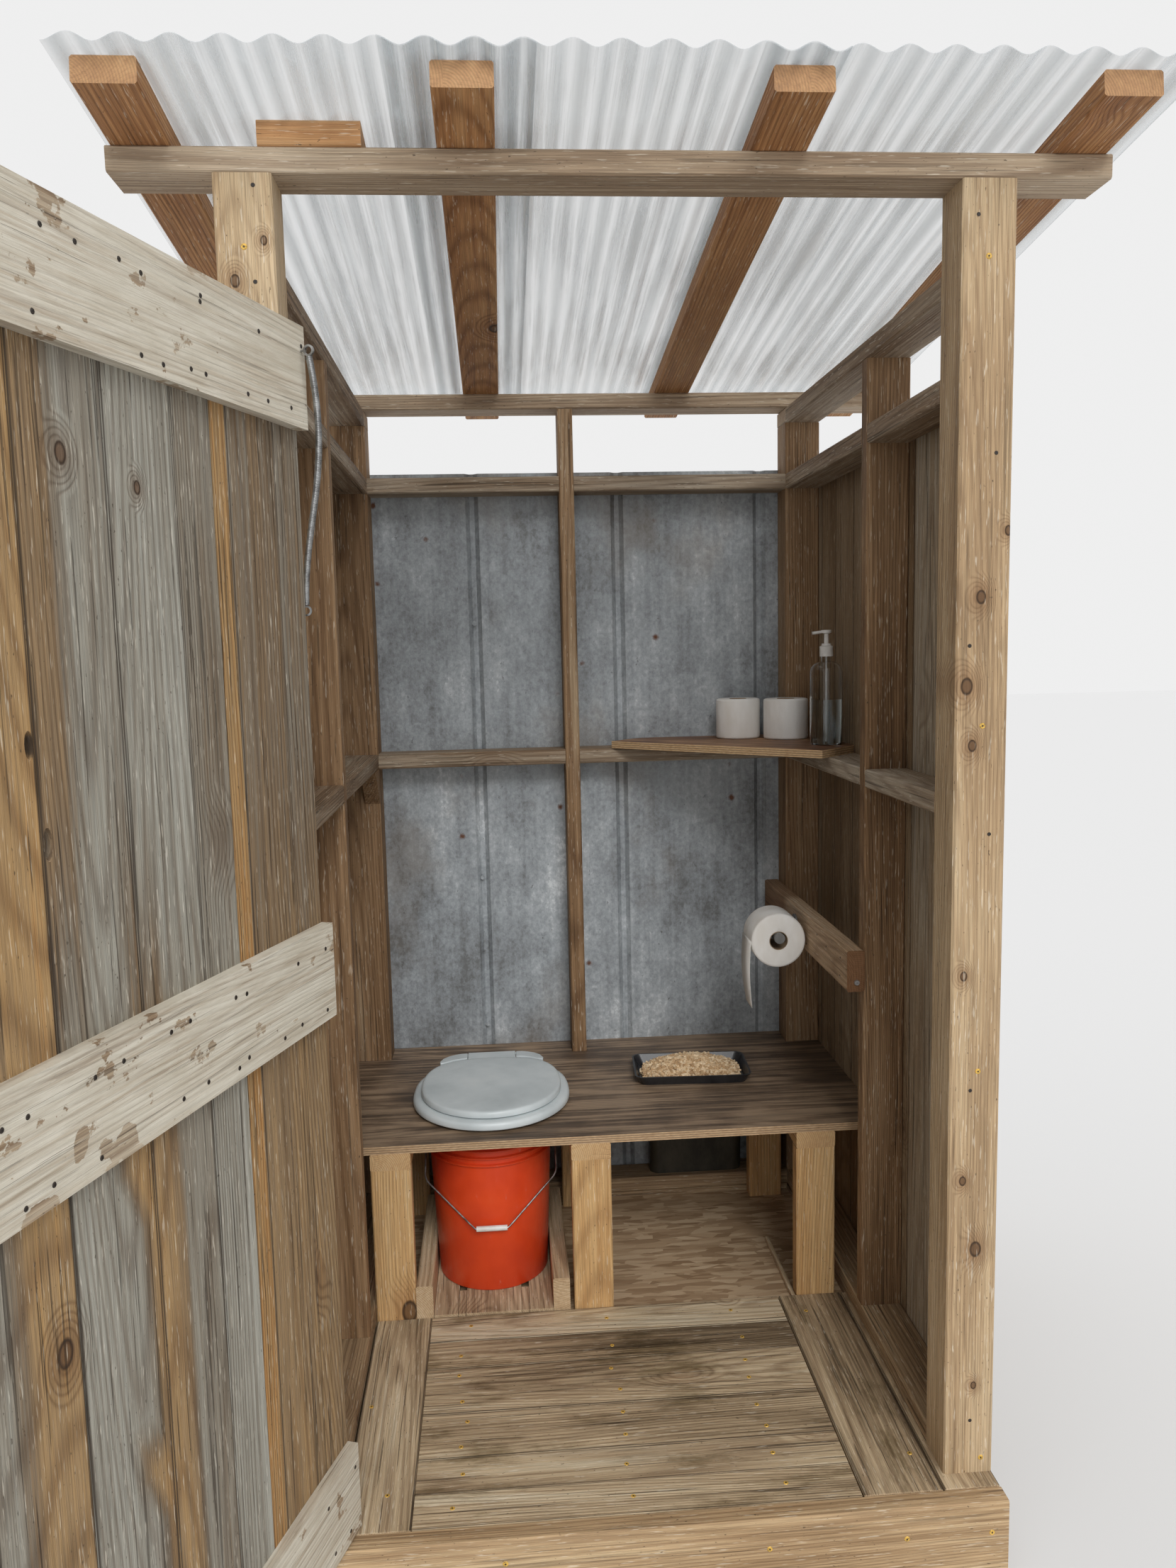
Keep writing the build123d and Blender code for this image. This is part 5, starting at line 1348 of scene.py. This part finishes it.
aside = there.outputs["Normal"]
third = calc_vector(spring_tree, "CROSS_PRODUCT", there.outputs["Tangent"], aside)
spot = there.outputs["Position"]
for way, amount in ((aside, x), (third, y)):
    spot = calc_vector(spring_tree, "ADD", spot, calc_vector(spring_tree, "SCALE", way, scale=amount))
wound = add(spring_tree, "GeometryNodeSetPosition", {"Geometry": coil.outputs[0], "Position": spot})
section = add(spring_tree, "GeometryNodeCurvePrimitiveCircle", {"Resolution": 5, "Radius": group_in["Wire"]})
wire = add(spring_tree, "GeometryNodeCurveToMesh", {
    "Curve": wound.outputs[0], "Profile Curve": section.outputs[0], "Fill Caps": True,
})
smooth = add(spring_tree, "GeometryNodeSetShadeSmooth", {0: wire.outputs[0]})
real = add(spring_tree, "GeometryNodeRealizeInstances", {0: smooth.outputs[0]})
end_tree(spring_tree, real.outputs[0], group_in["Finish"], group_out)
eye_low, eye_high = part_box("post_eye")
lower = Vector((eye_high.x - 0.0085, (eye_low.y + eye_high.y) / 2, eye_high.z + 0.0003))
eye_in, eye_out, eye_drop, eye_reach = 0.012, 0.013, 0.038, 0.0088
upper = swing @ Vector((leaf_low_x + eye_in, inner_face + plank + eye_out, leaf_z[1] - eye_drop - eye_reach))
bends = (lower, lower + Vector((0.004, -0.004, 0.14)), upper + Vector((0.026, 0.02, -0.17)), upper)
points = []
steps = 24
for number in range(steps + 1):
    t = number / steps
    weights = ((1 - t) ** 3, 3 * t * (1 - t) ** 2, 3 * t * t * (1 - t), t ** 3)
    points.append(sum((weight * bend for weight, bend in zip(weights, bends)), Vector()))
line = bpy.data.meshes.new("spring_route")
line.from_pydata(points, [(n, n + 1) for n in range(len(points) - 1)], [])
values = {"Turns": 235.0, "Radius": 0.0044, "Wire": 0.001, "Finish": bright_wire}
spring = grown("coil_spring", line, spring_tree, values)
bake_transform(spring)
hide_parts("door_spring")


# Studio: a plain pale floor, soft light from a clear white world and one broad lamp, and the
# photograph's own point of view.
ground = bpy.data.meshes.new("studio_floor")
reach = 30.0
corners = [(-reach, -reach, 0), (reach, -reach, 0), (reach, reach, 0), (-reach, reach, 0)]
ground.from_pydata(corners, [], [(0, 1, 2, 3)])
pale, tree, shader = finish_tree("pale_floor")
shader.inputs["Base Color"].default_value = (0.7, 0.7, 0.7, 1.0)
shader.inputs["Roughness"].default_value = 0.9
ground.materials.append(pale)
show("studio_floor", ground)

world = bpy.data.worlds.new("studio")
bpy.context.scene.world = world
world.use_nodes = True
tree = world.node_tree
background = tree.nodes["Background"]
background.inputs["Color"].default_value = (1.0, 1.0, 1.0, 1.0)
background.inputs["Strength"].default_value = 0.86

sun = bpy.data.lights.new("soft_sun", "SUN")
sun.energy = 1.6
sun.angle = radians(25)
lamp = bpy.data.objects.new("soft_sun", sun)
bpy.context.scene.collection.objects.link(lamp)
lamp.rotation_euler = (radians(52), 0.0, radians(9))

lens = bpy.data.cameras.new("view")
lens.sensor_fit = "VERTICAL"
lens.sensor_height = 36.0
lens.lens = 26.67
lens.clip_end = 200.0
yaw, pitch_down, roll = 0.0728, -0.1184, -0.0222
ahead = Vector((sin(yaw) * cos(pitch_down), cos(yaw) * cos(pitch_down), sin(pitch_down)))
level_right = Vector((cos(yaw), -sin(yaw), 0.0))
level_up = level_right.cross(ahead)
right = level_right * cos(roll) + level_up * sin(roll)
camera_up = level_up * cos(roll) - level_right * sin(roll)
camera = bpy.data.objects.new("view", lens)
bpy.context.scene.collection.objects.link(camera)
axes = Matrix((right, camera_up, -ahead)).transposed().to_4x4()
lens_place = (-0.2144, -2.4974, 1.659)
camera.matrix_world = Matrix.Translation(lens_place) @ axes
bpy.context.scene.camera = camera
bpy.context.scene.view_settings.view_transform = "Standard"
